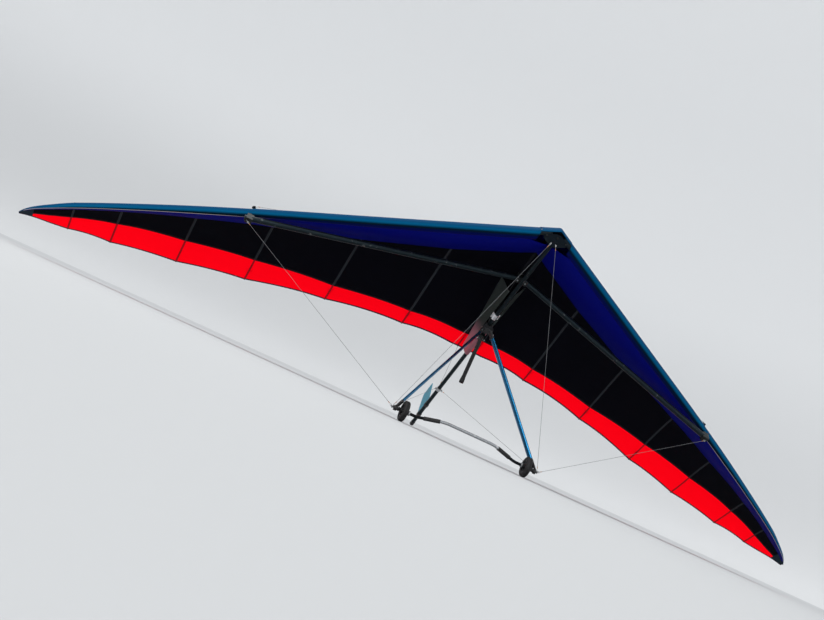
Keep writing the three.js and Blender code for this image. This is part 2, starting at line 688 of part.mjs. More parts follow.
const postFoot = v(0, KINGPOST.y, KINGPOST.base);
const postTop = v(0, KINGPOST.y, KINGPOST.top);
const postShoe = join(
  box(-26, 26, KINGPOST.y - 30, KINGPOST.y + 30, KEEL.radius + GAP, KINGPOST.base - GAP),
  box(-26, -KEEL.radius - GAP, KINGPOST.y - 22, KINGPOST.y + 22, -14, KEEL.radius + 4),
  box(KEEL.radius + GAP, 26, KINGPOST.y - 22, KINGPOST.y + 22, -14, KEEL.radius + 4),
);
add("kingpost_shoe", postShoe, PLASTIC);
add("kingpost", rod(postFoot, postTop, KINGPOST.radius, 20, v(1, 0, 0)), DOWNTUBE_FINISH);
const POST_EYES = {
  front: v(0, KINGPOST.y - 26, KINGPOST.top + 14),
  rear: v(0, KINGPOST.y + 26, KINGPOST.top + 14),
  side: v(26, KINGPOST.y, KINGPOST.top + 14),
};
const postCap = join(
  rod(v(0, KINGPOST.y, KINGPOST.top + GAP), v(0, KINGPOST.y, KINGPOST.top + 34), 20, 20, v(1, 0, 0)),
  ball(POST_EYES.front),
  ball(POST_EYES.rear),
  ball(POST_EYES.side),
  ball(POST_EYES.side.clone().setX(-POST_EYES.side.x)),
);
add("kingpost_cap", postCap, PLASTIC);

// Rear tang: a band round the keel that takes the rear stays.
const REAR_EYES = { side: v(KEEL.radius + 13, REAR_TANG_Y, -4), top: v(0, REAR_TANG_Y, KEEL.radius + 13) };
const tangBand = cut(
  rod(v(0, REAR_TANG_Y - 20, 0), v(0, REAR_TANG_Y + 20, 0), KEEL.radius + 6, 24),
  rod(v(0, REAR_TANG_Y - 30, 0), v(0, REAR_TANG_Y + 30, 0), KEEL.radius + GAP, 24),
);
const bandEyes = [REAR_EYES.side, REAR_EYES.side.clone().setX(-REAR_EYES.side.x), REAR_EYES.top];
const keelCore = rod(v(0, REAR_TANG_Y - 30, 0), v(0, REAR_TANG_Y + 30, 0), KEEL.radius + GAP, 24);
add("rear_tang", cut(join(tangBand, ...bandEyes.map((p) => ball(p))), keelCore), STEEL);

// Stays: each runs between two eyes and stops just short of their balls.
function stay(a, b) {
  const along = b.clone().sub(a).normalize();
  const reach = EYE_RADIUS + GAP;
  const [start, end] = [a.clone().addScaledVector(along, reach), b.clone().addScaledVector(along, -reach)];
  return rod(start, end, WIRE_RADIUS, 6);
}

for (const [name, side] of SIDES) {
  const lowerStays = [
    [`stay_lower_front_${name}`, CORNER_EYE, FRONT_EYES[0]],
    [`stay_lower_rear_${name}`, CORNER_EYE, REAR_EYES.side],
    [`stay_lower_side_${name}`, CORNER_EYE, SIDE_EYES.low],
    [`stay_upper_side_${name}`, POST_EYES.side, SIDE_EYES.high],
  ];
  for (const [wire, from, to] of lowerStays) add(wire, mirror(stay(from, to), side), STEEL);
}
add("stay_upper_front", stay(POST_EYES.front, TOP_EYE), STEEL);
add("stay_upper_rear", stay(POST_EYES.rear, REAR_EYES.top), STEEL);

// Keel pocket: two walls of cloth hang from the crown to the keel, and pass below it behind the strap.
const POCKET = { front: 980, wrap: 1668, rear: 1950, frontHalf: 140, rearHalf: 62, footHalf: 36, footZ: 25 };
const pocketHalf = (y) => {
  const share = (y - POCKET.front) / (POCKET.rear - POCKET.front);
  return mix(POCKET.frontHalf, POCKET.rearHalf, share);
};
function crownUnderside(x, y) {
  const s = section(x);
  return upper(x, Math.sqrt((y - s.noseY) / (s.rearY - s.noseY))).z - CLOTH - UNDER_GAP;
}
function pocketRing(y, inset) {
  const half = pocketHalf(y);
  const top = crownUnderside(half, y) + inset;
  const r = KEEL.radius + GAP + CLOTH - inset;
  const arc = spread(0, 1, 10).map((t) => {
    const a = Math.PI + t * Math.PI;
    return v(r * Math.cos(a), y, r * Math.sin(a));
  });
  const foot = POCKET.footHalf - inset;
  const wall = half - inset;
  return [...arc, v(foot, y, POCKET.footZ), v(wall, y, top), v(-wall, y, top), v(-foot, y, POCKET.footZ)];
}
const pocketYs = spread(POCKET.front, POCKET.rear, 8);
const pocketOuter = loft(pocketYs.map((y) => pocketRing(y, 0)));
const innerYs = [POCKET.front - 5, ...pocketYs.slice(1, -1), POCKET.rear + 5];
const pocketInner = loft(innerYs.map((y) => pocketRing(y, CLOTH)));
const pocketMouth = box(-60, 60, POCKET.front - 10, POCKET.wrap, -40, POCKET.footZ);
add("keel_pocket", cut(pocketOuter, pocketInner, pocketMouth), POCKET_CLOTH);

// Haulback: the strap that holds the crossbar aft, from its bracket to the kingpost's shoe.
const haulback = box(
  -12,
  12,
  CROSSBAR.centreY + 40 + GAP,
  KINGPOST.y - 30 - GAP,
  KEEL.radius + GAP + 2,
  KEEL.radius + GAP + 6,
);
add("haulback_strap", haulback, WEBBING);

// Tail fin: a flat cloth-covered fin on the keel, held by two clamps in one piece with it.
const finOutline = [
  [FIN.front, KEEL.radius + 1],
  [FIN.rear, KEEL.radius + 1],
  [FIN.rear - 20, 120],
  [FIN.rear - 80, FIN.height - 12],
  [FIN.rear - 100, FIN.height],
  [FIN.front - 10, FIN.height],
  [FIN.front - 20, FIN.height - 12],
];
const finBlade = plate(finOutline, v(0, 1, 0), v(0, 0, 1), v(-FIN.thickness / 2, 0, 0), FIN.thickness);
const finClamps = [FIN.front + 50, FIN.rear - 60].map((y) =>
  rod(v(0, y - 18, 0), v(0, y + 18, 0), KEEL.radius + 5, 24),
);
const finBore = rod(v(0, FIN.front - 30, 0), v(0, FIN.rear + 40, 0), KEEL.radius + GAP, 24);
add("tail_fin", cut(join(finBlade, ...finClamps), finBore), FIN_SKIN);

// Hang strap on its pin below the keel, free to swing fore and aft.

const pinCentre = v(0, STRAP.y, -KEEL.radius - STRAP.pinDrop);
const hangShape = new THREE.Shape();
hangShape.moveTo(-34, 10);
hangShape.lineTo(-KEEL.radius - GAP, 10);
hangShape.lineTo(-KEEL.radius - GAP, 0);
hangShape.absarc(0, 0, KEEL.radius + GAP, Math.PI, 2 * Math.PI, false);
hangShape.lineTo(KEEL.radius + GAP, 10);
hangShape.lineTo(34, 10);
hangShape.lineTo(34, pinCentre.z - 14);
hangShape.lineTo(26, pinCentre.z - 14);
hangShape.lineTo(26, -KEEL.radius - 12);
hangShape.lineTo(-26, -KEEL.radius - 12);
hangShape.lineTo(-26, pinCentre.z - 14);
hangShape.lineTo(-34, pinCentre.z - 14);
hangShape.closePath();
const hangBody = new THREE.ExtrudeGeometry(hangShape, { depth: 30, bevelEnabled: false, curveSegments: 12 });
hangBody.applyMatrix4(new THREE.Matrix4().makeBasis(v(1, 0, 0), v(0, 0, 1), v(0, -1, 0)));
hangBody.translate(0, STRAP.y + 15, 0);
const hangPin = rod(v(-34, STRAP.y, pinCentre.z), v(34, STRAP.y, pinCentre.z), STRAP.pinRadius, 20);
add("hang_bracket", join(hangBody, hangPin), STEEL);

// Parked attitude: the keel's end and the wheels all touch the floor.
const toHeel = { y: KEEL.rear + 12 - CORNER.y, z: -END_CAP_RADIUS - CORNER.z };
const PITCH = Math.atan2(toHeel.z, toHeel.y) + Math.asin(WHEEL.radius / Math.hypot(toHeel.y, toHeel.z));

const STRAP_FOOT_RADIUS = 24;

// The strap is a loop of webbing: round the pin, down in two layers and open again at its foot.
function strapOutline(pinLoop, footLoop) {
  const foot = STRAP_FOOT_RADIUS - STRAP.length;
  const outline = [];
  for (const t of spread(-0.16, 1.16, 14)) {
    outline.push([pinLoop * Math.cos(Math.PI * t), pinLoop * Math.sin(Math.PI * t)]);
  }
  const waist = pinLoop - (STRAP.pinRadius + 1) + 0.6;
  outline.push([-waist, -60], [-waist, foot + 66]);
  for (const t of spread(0, 1, 10)) {
    const a = Math.PI + Math.PI * t;
    outline.push([footLoop * Math.cos(a), foot + footLoop * Math.sin(a)]);
  }
  outline.push([waist, foot + 66], [waist, -60]);
  return outline;
}
const down = v(0, Math.sin(PITCH), -Math.cos(PITCH)); // plumb, once the glider is pitched up
const strapSide = new THREE.Vector3().crossVectors(down.clone().negate(), v(1, 0, 0));
function strapSolid(pinLoop, footLoop, halfWidth) {
  const corner = v(-halfWidth, pinCentre.y, pinCentre.z);
  return plate(strapOutline(pinLoop, footLoop), strapSide, down.clone().negate(), corner, 2 * halfWidth);
}
const strapInside = STRAP.pinRadius + 1;
add(
  "hang_strap",
  cut(
    strapSolid(strapInside + STRAP.webbing, STRAP_FOOT_RADIUS, STRAP.width / 2),
    strapSolid(strapInside, STRAP_FOOT_RADIUS - STRAP.webbing, STRAP.width / 2 + 5),
  ),
  WEBBING,
);

// The glider pitched up, with the keel's end and wheels on the floor and the origin under its middle.
rig.rotation.x = -PITCH;
const parked = new THREE.Group();
parked.add(rig);
parked.updateMatrixWorld(true);
const bounds = new THREE.Box3().setFromObject(parked, true);
rig.position.set(0, -(bounds.min.y + bounds.max.y) / 2, -bounds.min.z);

export default parked;
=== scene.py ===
# %% [markdown]
# # Dressing a hang glider
#
# The solids of this glider come from a CAD program and are already in the right places. This
# lesson loads them, replaces the cloth with finer surfaces, gives every part a finish, and adds
# the small fittings that hold a real glider together.

import bmesh
import bpy
import numpy as np
from mathutils import Matrix, Vector


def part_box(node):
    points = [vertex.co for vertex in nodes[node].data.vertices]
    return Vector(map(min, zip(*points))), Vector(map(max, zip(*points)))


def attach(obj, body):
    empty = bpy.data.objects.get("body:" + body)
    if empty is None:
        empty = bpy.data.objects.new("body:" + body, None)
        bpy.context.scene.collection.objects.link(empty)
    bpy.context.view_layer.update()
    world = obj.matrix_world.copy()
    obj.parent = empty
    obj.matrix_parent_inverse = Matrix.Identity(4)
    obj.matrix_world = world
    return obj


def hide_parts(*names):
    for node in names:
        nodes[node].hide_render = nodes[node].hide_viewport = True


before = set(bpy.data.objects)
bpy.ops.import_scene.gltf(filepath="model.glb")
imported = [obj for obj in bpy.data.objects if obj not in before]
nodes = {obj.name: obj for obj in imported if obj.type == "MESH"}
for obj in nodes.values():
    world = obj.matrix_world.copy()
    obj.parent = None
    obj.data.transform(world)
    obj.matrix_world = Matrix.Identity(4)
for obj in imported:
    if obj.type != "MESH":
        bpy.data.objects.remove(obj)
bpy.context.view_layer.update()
print("nodes in the frame:", len(nodes))

# %% [markdown]
# ## Shader maths as plain expressions
#
# A procedural finish is arithmetic on numbers that change over the surface. Wiring each sum by
# hand hides the formula, so a small class wraps a socket, and +, -, * and / on it add the Math
# nodes. A finish can then be read as its formula.

# %% Numbers


class Number:
    """A changing number inside a finish. Arithmetic on it adds Math nodes."""

    def __init__(self, finish, socket):
        self.finish, self.socket = finish, socket

    def worked(self, operation, first, second=0.0):
        """A Math node for one operation on one or two numbers."""
        node = self.finish.add("ShaderNodeMath", {"operation": operation}, first, second)
        return Number(self.finish, node.outputs[0])

    def __add__(self, other):
        return self.worked("ADD", self, other)

    __radd__ = __add__

    def __sub__(self, other):
        return self.worked("SUBTRACT", self, other)

    def __rsub__(self, other):
        return self.worked("SUBTRACT", other, self)

    def __mul__(self, other):
        return self.worked("MULTIPLY", self, other)

    def __truediv__(self, other):
        return self.worked("DIVIDE", self, other)

    def size(self):
        """The number without its sign."""
        return self.worked("ABSOLUTE", self)

    def wave(self):
        """The sine of the number, in radians."""
        return self.worked("SINE", self)

    def part(self):
        """What is left after the whole number is taken off."""
        return self.worked("FRACT", self)

    def least(self, other):
        """The smaller of the two."""
        return self.worked("MINIMUM", self, other)

    def most(self, other):
        """The larger of the two."""
        return self.worked("MAXIMUM", self, other)

    def below(self, limit, soft):
        """1 under limit - soft, 0 over limit + soft, and a smooth step between them."""
        settings = {"interpolation_type": "SMOOTHSTEP"}
        node = self.finish.add("ShaderNodeMapRange", settings, self, limit - soft, limit + soft, 1.0, 0.0)
        return Number(self.finish, node.outputs[0])


print("operations of a number:", [name for name in vars(Number) if name.isalpha()])

# %% Finishes


class Finish:
    """A material with a Principled shader, built from expressions."""

    def __init__(self, name, colour, roughness, metallic=0.0, **fixed):
        self.material = bpy.data.materials.new(name)
        self.material.use_nodes = True
        self.tree = self.material.node_tree
        self.shader = self.tree.nodes["Principled BSDF"]
        self.shader.inputs["Base Color"].default_value = (*colour, 1)
        self.shader.inputs["Roughness"].default_value = roughness
        self.shader.inputs["Metallic"].default_value = metallic
        self.material.diffuse_color = (*colour, 1)
        for socket, value in fixed.items():
            self.shader.inputs[socket.replace("_", " ")].default_value = value

    def put(self, socket, value):
        """Links a number or a socket to a socket, or sets a plain value on it."""
        if isinstance(value, Number):
            value = value.socket
        if isinstance(value, bpy.types.NodeSocket):
            self.tree.links.new(value, socket)
        else:
            socket.default_value = value

    def add(self, kind, settings, *values, **named):
        """A node of any kind: its settings first, then its sockets by order or by name."""
        node = self.tree.nodes.new(kind)
        for setting, value in settings.items():
            setattr(node, setting, value)
        for socket, value in zip(node.inputs, values):
            self.put(socket, value)
        for name, value in named.items():
            self.put(node.inputs[name.replace("_", " ")], value)
        return node

    def place(self):
        """The point on the object, in metres, as a vector socket."""
        return self.add("ShaderNodeTexCoord", {}).outputs["Object"]

    def across(self, source="uv"):
        """(u, v) of the piece's own map, or (x, y, z) of its place, as numbers."""
        if source == "uv":
            vector = self.add("ShaderNodeUVMap", {"uv_map": "cloth"}).outputs[0]
        else:
            vector = self.place()
        split = self.add("ShaderNodeSeparateXYZ", {}, vector)
        return [Number(self, out) for out in split.outputs]

    def noise(self, scale, detail=3.0, stretch=(1, 1, 1), at=None):
        """Cloudy noise from 0 to 1 with about scale blobs to the metre."""
        if at is None:
            at = self.add("ShaderNodeMapping", {}, self.place(), Scale=stretch).outputs[0]
        node = self.add("ShaderNodeTexNoise", {}, at, Scale=scale, Detail=detail)
        return Number(self, node.outputs[0])

    def measured(self, axis):
        """How far the place lies along an axis, in metres: their dot product."""
        node = self.add("ShaderNodeVectorMath", {"operation": "DOT_PRODUCT"}, self.place(), axis)
        return Number(self, node.outputs["Value"])

    def drawn(self, axis, keep):
        """The place with its part along an axis shrunk to keep, so that noise on it runs in streaks."""
        back = self.measured(axis) * (1 - keep)
        pull = self.add("ShaderNodeVectorMath", {"operation": "SCALE"}, axis, Scale=back).outputs[0]
        return self.add("ShaderNodeVectorMath", {"operation": "SUBTRACT"}, self.place(), pull).outputs[0]

    def blend(self, share, a, b):
        """Colour a where share is 0 and b where it is 1. Each is three numbers or a colour socket."""
        pair = [(*c, 1) if isinstance(c, tuple) else c for c in (a, b)]
        node = self.tree.nodes.new("ShaderNodeMix")
        node.data_type = "RGBA"
        self.put(node.inputs[0], share)
        self.put(node.inputs[6], pair[0])
        self.put(node.inputs[7], pair[1])
        return node.outputs[2]

    def painted(self):
        """The colour that the shader has so far, as a socket to blend with."""
        return self.shader.inputs["Base Color"].links[0].from_socket

    def use(self, **what):
        """Feeds the shader: colour, roughness, or height with its depth in metres."""
        for key, name in {"colour": "Base Color", "roughness": "Roughness"}.items():
            if key in what:
                self.put(self.shader.inputs[name], what[key])
        if "height" in what:
            strength = what.get("strength", 0.6)
            bump = self.add("ShaderNodeBump", {}, Strength=strength, Distance=what["depth"])
            self.put(bump.inputs["Height"], what["height"])
            self.put(self.shader.inputs["Normal"], bump.outputs[0])
        return self

    def lit_through(self, colour, share):
        """Thin cloth lets light through from behind: part of the shader is a Translucent one."""
        glow = self.add("ShaderNodeBsdfTranslucent", {})
        self.put(glow.inputs["Color"], (*colour, 1) if isinstance(colour, tuple) else colour)
        mix = self.add("ShaderNodeMixShader", {}, share, self.shader.outputs[0], glow.outputs[0])
        self.put(self.tree.nodes["Material Output"].inputs["Surface"], mix.outputs[0])
        return self


print("shader helpers ready")

# %% [markdown]
# ## The glider's own frame
#
# A rigger measures a glider from its nose: x out to the left wing, y aft along the keel, z up
# from the keel. Parked, it stands nose up on its wheels and the end of its keel. Every new piece
# is worked out in the rigger's frame, and one function turns it to its parked place. The wheel,
# which is in both frames, gives the shift.

# %% From the rigger's frame to the floor's
OUT, AFT, UP = (1, 0, 0), (0, 1, 0), (0, 0, 1)
KEEL_RADIUS, KEEL_REAR = 0.021, 3.260
HEEL_LENGTH, HEEL_RADIUS = 0.012, 0.024
CORNER = np.array([0.735, 1.570, -1.500])  # where downtube and base bar meet
WHEEL_RADIUS, WHEEL_X = 0.100, 0.648

heel = np.array([KEEL_REAR + HEEL_LENGTH - CORNER[1], -HEEL_RADIUS - CORNER[2]])
PITCH = np.arctan2(heel[1], heel[0]) + np.arcsin(WHEEL_RADIUS / np.hypot(*heel))
TURN = np.array([[1, 0, 0], [0, np.cos(PITCH), np.sin(PITCH)], [0, -np.sin(PITCH), np.cos(PITCH)]])
wheel_centre = np.array(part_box("wheel_tyre_left")).mean(axis=0)
SHIFT = wheel_centre - TURN @ [WHEEL_X, CORNER[1], CORNER[2]]


def parked(points):
    """Points of the rigger's frame, turned nose up by PITCH about X and moved to the floor."""
    return np.asarray(points, float) @ TURN.T + SHIFT


print("pitch in degrees:", np.degrees(PITCH).round(2), "keel end:", parked([0, KEEL_REAR, 0]).round(3))

# %% [markdown]
# ## The camera
#
# The photograph looks up from the ground at the wing's underside, from ahead and a little to the
# right wing's side, and the wing is banked in it. A glider on the floor can't be seen from below,
# so the camera lies just above the floor and is rolled by the bank. A long lens keeps the far
# wing's size close to the near one's.

# %% Camera on the floor
CAMERA = {"place": (-3.0772, -11.9019, 0.06), "turn": 11.014, "rise": 4.769, "roll": 24.584}
SENSOR = 36  # the picture's width on the camera's film, in millimetres
LENS = 1195.8 / 824 * SENSOR  # from a focal length of 1195.8 pixels in a picture of 824


def unit(vectors):
    """Vectors of length 1: each is divided by the root of its squares' sum."""
    vectors = np.asarray(vectors, float)
    return vectors / np.linalg.norm(vectors, axis=-1, keepdims=True)


def aim(turn, rise, roll):
    """Camera axes from a compass turn, a rise and a roll in degrees: right, up and back."""
    t, e, r = np.radians([turn, rise, roll])
    ahead = np.array([np.cos(e) * np.sin(t), np.cos(e) * np.cos(t), np.sin(e)])
    level = unit(np.cross(ahead, UP))
    right = np.cos(r) * level + np.sin(r) * np.cross(level, ahead)
    return np.column_stack([right, np.cross(right, ahead), -ahead])


camera_data = bpy.data.cameras.new("camera")
camera_data.lens = LENS
camera_data.sensor_width = SENSOR
camera = bpy.data.objects.new("camera", camera_data)
bpy.context.scene.collection.objects.link(camera)
axes = aim(CAMERA["turn"], CAMERA["rise"], CAMERA["roll"])
camera.matrix_world = Matrix.Translation(CAMERA["place"]) @ Matrix(axes.tolist()).to_4x4()
bpy.context.scene.camera = camera
print("camera at", CAMERA["place"])

# %% [markdown]
# ## Shapes as arrays
#
# Every new piece starts as an array of points: a grid for cloth, a profile carried along a path
# for tubes and tapes, a turned outline for round fittings. One helper gives the grid its faces
# and another puts any number of such shapes into one object.

# %% Shapes as points and faces


def grid(points, wrap=False):
    """A four-cornered face for each cell of a grid of points (rows, columns, 3).

    wrap joins the last column to the first, and "both" joins the rows too.
    """
    rows, cols = points.shape[:2]
    index = np.arange(rows * cols).reshape(rows, cols)
    if wrap:
        index = np.hstack([index, index[:, :1]])
    if wrap == "both":
        index = np.vstack([index, index[:1]])
    corners = [index[:-1, :-1], index[:-1, 1:], index[1:, 1:], index[1:, :-1]]
    return points.reshape(-1, 3), np.stack(corners, -1).reshape(-1, 4).tolist()


def capped(points):
    """A wrapped grid with its first and last row each filled by one face."""
    flat, faces = grid(points, wrap=True)
    cols = points.shape[1]
    first = list(range(cols))
    last = list(range(len(flat) - cols, len(flat)))
    return flat, faces + [first[::-1], last]


def carried(path, outline, hint=UP):
    """An outline of (side, up) pairs set square to each step of a path. Its side is path x hint."""
    path = np.asarray(path, float)
    along = unit(np.gradient(path, axis=0))
    side = unit(np.cross(along, hint))
    up = np.cross(side, along)
    return path[:, None] + outline[:, :1] * side[:, None] + outline[:, 1:] * up[:, None]


def ring(radius, sides):
    """Points of a circle: (radius cos a, radius sin a) for equal steps of a."""
    a = np.arange(sides) / sides * 2 * np.pi
    return np.column_stack([np.cos(a), np.sin(a)]) * radius


def tube(path, radius, sides, hint=UP):
    """A round tube along a path, with both ends closed."""
    return capped(carried(path, ring(radius, sides), hint))


def revolved(profile, centre, axis, sides):
    """Each (distance along the axis, radius) pair turned about the axis: one row of points for each."""
    profile, axis = np.asarray(profile, float), unit(axis)
    side = unit(np.cross(axis, OUT if abs(axis[0]) < 0.8 else AFT))
    circle = ring(1, sides)
    spokes = circle[:, :1] * side + circle[:, 1:] * np.cross(axis, side)
    return np.asarray(centre, float) + profile[:, None, :1] * axis + profile[:, None, 1:] * spokes


def turned(profile, centre, axis, sides=24):
    """A turned shape that is closed at both ends."""
    return capped(revolved(profile, centre, axis, sides))


def hoop(profile, centre, axis, sides=32):
    """A turned shape with a hole along its axis: the profile is a closed loop."""
    return grid(revolved(profile, centre, axis, sides), wrap="both")


def rounded(half_width, half_height, corner, steps=4):
    """A rectangle with round corners: a quarter circle at each corner, in turn."""
    a = np.linspace(0, np.pi / 2, steps)
    quarter = np.column_stack([np.cos(a), np.sin(a)]) * corner
    middle = np.array([half_width - corner, half_height - corner])
    turns = [(1, 1), (-1, 1), (-1, -1), (1, -1)]
    return np.concatenate([(quarter + middle)[:: i * j] * [i, j] for i, j in turns])


def both_ends(outline):
    """Half an outline, followed by its mirror image in the first number, read backwards."""
    return outline + [(-first, second) for first, second in outline[::-1]]


def slab(outline, origin, first, second, depth):
    """A flat outline in the plane of two axes, pushed depth along their cross product."""
    first, second = np.asarray(first, float), np.asarray(second, float)
    outline = np.asarray(outline, float)
    flat = np.asarray(origin, float) + outline[:, :1] * first + outline[:, 1:] * second
    return capped(np.stack([flat, flat + np.cross(first, second) * depth]))


print("points on a rounded rectangle:", len(rounded(1, 1, 0.1)))

# %% From shapes to objects


def shaped(name, points, faces, finish):
    """A smooth object of one finish, with its place in its mesh."""
    mesh = bpy.data.meshes.new(name)
    mesh.from_pydata(points.tolist(), [], faces)
    mesh.polygons.foreach_set("use_smooth", np.ones(len(mesh.polygons), bool))
    mesh.update()
    mesh.materials.append(finish.material)
    made = bpy.data.objects.new(name, mesh)
    bpy.context.scene.collection.objects.link(made)
    return made


def mapped(name, points, faces, finish, body, uv):
    """An object that rides on a body and has a flat map: (u, v) in metres for each point."""
    made = shaped(name, points, faces, finish)
    corner = np.empty(len(made.data.loops), int)
    made.data.loops.foreach_get("vertex_index", corner)
    layer = made.data.uv_layers.new(name="cloth")
    layer.data.foreach_set("uv", uv.reshape(-1, 2)[corner].ravel())
    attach(made, body)
    return made


def piece(name, shapes, finish, node=None, body="glider", sharp=30, bevel=0.0):
    """One object from several shapes of the rigger's frame. It may stand for a CAD node."""
    starts = np.cumsum([0] + [len(points) for points, _ in shapes])
    faces = [[start + i for i in face] for (_, cells), start in zip(shapes, starts) for face in cells]
    made = shaped(name, parked(np.vstack([points for points, _ in shapes])), faces, finish)
    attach(made, body)
    outwards(made, sharp)
    if bevel:
        edge = made.modifiers.new("edge", "BEVEL")
        edge.width, edge.segments, edge.limit_method = bevel, 2, "ANGLE"
        edge.angle_limit = np.radians(40)
        edge.harden_normals = True
    if node:
        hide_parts(node)


def outwards(made, sharp):
    """Turns every closed shell of a mesh to face outwards, and keeps edges over sharp degrees hard."""
    work = bmesh.new()
    work.from_mesh(made.data)
    bmesh.ops.recalc_face_normals(work, faces=work.faces)
    work.to_mesh(made.data)
    work.free()
    made.data.set_sharp_from_angle(angle=np.radians(sharp))


def on_side(side, shapes):
    """Shapes given for the left side, or mirrored on the right: x changes its sign."""
    return [(points * [side, 1, 1], faces) for points, faces in shapes]


def both(shapes):
    """Shapes of the left side with their mirror images."""
    return shapes + on_side(-1, shapes)


SIDES = (("left", 1.0), ("right", -1.0))
print("shape helpers ready")

# %% [markdown]
# ## The wing's ribs
#
# Battens give the wing its section at a dozen places along the span: where the leading edge and
# the trailing edge lie, how high the crown stands over the chord, and how far the undersurface
# and the trailing band reach. Between the ribs each of these values follows a smooth curve.

# %% Ribs
# x, leading edge y and z, trailing edge y and z, crown's height, and the shares of the chord
# that the undersurface and the trailing band cover. Metres.
RIBS = np.array(
    [
        [0.000, 0.060, 0.000, 1.990, 0.095, 0.196, 0.26, 0.11],
        [0.180, 0.158, 0.000, 2.000, 0.098, 0.190, 0.28, 0.11],
        [0.730, 0.458, 0.005, 2.062, 0.115, 0.165, 0.32, 0.125],
        [1.550, 0.905, 0.010, 2.270, 0.165, 0.142, 0.34, 0.165],
        [2.380, 1.357, 0.018, 2.560, 0.225, 0.120, 0.31, 0.265],
        [3.100, 1.766, 0.030, 2.790, 0.265, 0.100, 0.29, 0.35],
        [3.800, 2.190, 0.045, 2.940, 0.262, 0.076, 0.27, 0.43],
        [4.250, 2.478, 0.056, 2.985, 0.225, 0.056, 0.30, 0.40],
        [4.400, 2.585, 0.060, 2.985, 0.200, 0.046, 0.32, 0.37],
        [4.600, 2.742, 0.066, 2.972, 0.160, 0.026, 0.34, 0.30],
        [4.700, 2.845, 0.070, 2.960, 0.124, 0.012, 0.36, 0.24],
        [4.745, 2.912, 0.072, 2.952, 0.100, 0.004, 0.40, 0.20],
    ]
)
CROSSBAR_X = 2.640  # where the crossbar meets the leading edge tube
CROSSBAR_Y = 0.800  # where it crosses the keel
TIP_X = RIBS[-1, 0]
TIP_START = 4.25  # from here out the chord closes towards the tip
TIP_REACH = 0.008  # how far the nose of the chord lies ahead of RIBS at the tip itself
BATTENS = np.array([0.10, *RIBS[2:8, 0]])
CLOTH = 0.003  # thickness that the CAD gives the sail
TUBE_RADII = (0.026, 0.022)  # leading edge tube, inside and outside the crossbar
TUBE_GAP = 0.0006
UNDER_GAP = 0.002
BELLY = 0.066  # depth of the undersurface below the tube
BELLY_CHORD = 0.52  # chord under which the belly gets flatter
POCKET_TOP, POCKET_BELLY = 0.26, 0.43  # how far the leading edge's cloth reaches above and below
POCKET_START = 0.165  # x where that cloth begins, beside the nose
TRAILING_HOLLOW = 0.022  # how deep the trailing edge is cut between two battens
SEAM = 0.0004
CROWN_PEAK = 0.3248  # the most that w (1 - w squared) to the 1.5 reaches, at w = 0.5
FULL_SAG = 0.1  # a crown lower than this sinks less between two ribs
print("ribs:", len(RIBS), "battens a side:", len(BATTENS))

# %% Curves between the ribs


def bay_of(x):
    """The number of the bay between two ribs that x lies in, its width, and x's share of it."""
    at = RIBS[:, 0]
    i = np.clip(np.searchsorted(at, x, side="right") - 1, 0, len(at) - 2)
    width = at[i + 1] - at[i]
    return i, width, (x - at[i]) / width


def rib(column, x):
    """A smooth curve through a column of RIBS: cubics, each rib's slope taken from its neighbours."""
    at, value = RIBS[:, 0], RIBS[:, column]
    low = np.maximum(np.arange(len(at)) - 1, 0)
    high = np.minimum(np.arange(len(at)) + 1, len(at) - 1)
    slope = (value[high] - value[low]) / (at[high] - at[low])
    i, width, t = bay_of(x)
    start = value[i] * (2 * t**3 - 3 * t**2 + 1) + slope[i] * width * (t**3 - 2 * t**2 + t)
    return start + value[i + 1] * (3 * t**2 - 2 * t**3) + slope[i + 1] * width * (t**3 - t**2)


def bay(x):
    """0 at each rib and 1 midway between two: 4t (1 - t)."""
    t = np.clip(bay_of(x)[2], 0, 1)
    return 4 * t * (1 - t)


def section(x):
    """At x: y and z of the chord's nose, ahead of the tube, and of its rear, crown's height, two shares."""
    step = 0.001
    slope = (rib(1, x + step) - rib(1, x - step)) / (2 * step)
    radius = np.where(x < CROSSBAR_X, *TUBE_RADII)
    reach = (radius + TUBE_GAP + CLOTH) * np.hypot(1, slope)
    tip = np.clip((x - TIP_START) / (TIP_X - TIP_START), 0, 1)
    nose_y = rib(1, x) - (reach * (1 - tip) + TIP_REACH * tip)
    hollow = np.where((x > RIBS[1, 0]) & (x < TIP_START), TRAILING_HOLLOW * bay(x), 0)
    return nose_y, rib(2, x), rib(3, x) - hollow, rib(4, x), rib(5, x), rib(6, x), rib(7, x)


def upper(x, w, sag=0.0):
    """The crown: the chord's point at share w squared, raised by w (1 - w squared) to the 1.5.

    sag is how far it sinks midway between two ribs.
    """
    nose_y, nose_z, rear_y, rear_z, crown, _, _ = section(x)
    share = w**2
    rise = w * (1 - np.minimum(share, 1)) ** 1.5 / CROWN_PEAK
    y = nose_y + (rear_y - nose_y) * share
    z = nose_z + (rear_z - nose_z) * share + crown * rise
    drop = sag * bay(x) * np.minimum(crown / FULL_SAG, 1) * np.sin(np.pi * np.minimum(share, 1)) ** 0.7
    return np.stack(np.broadcast_arrays(x, y, z - drop), -1)


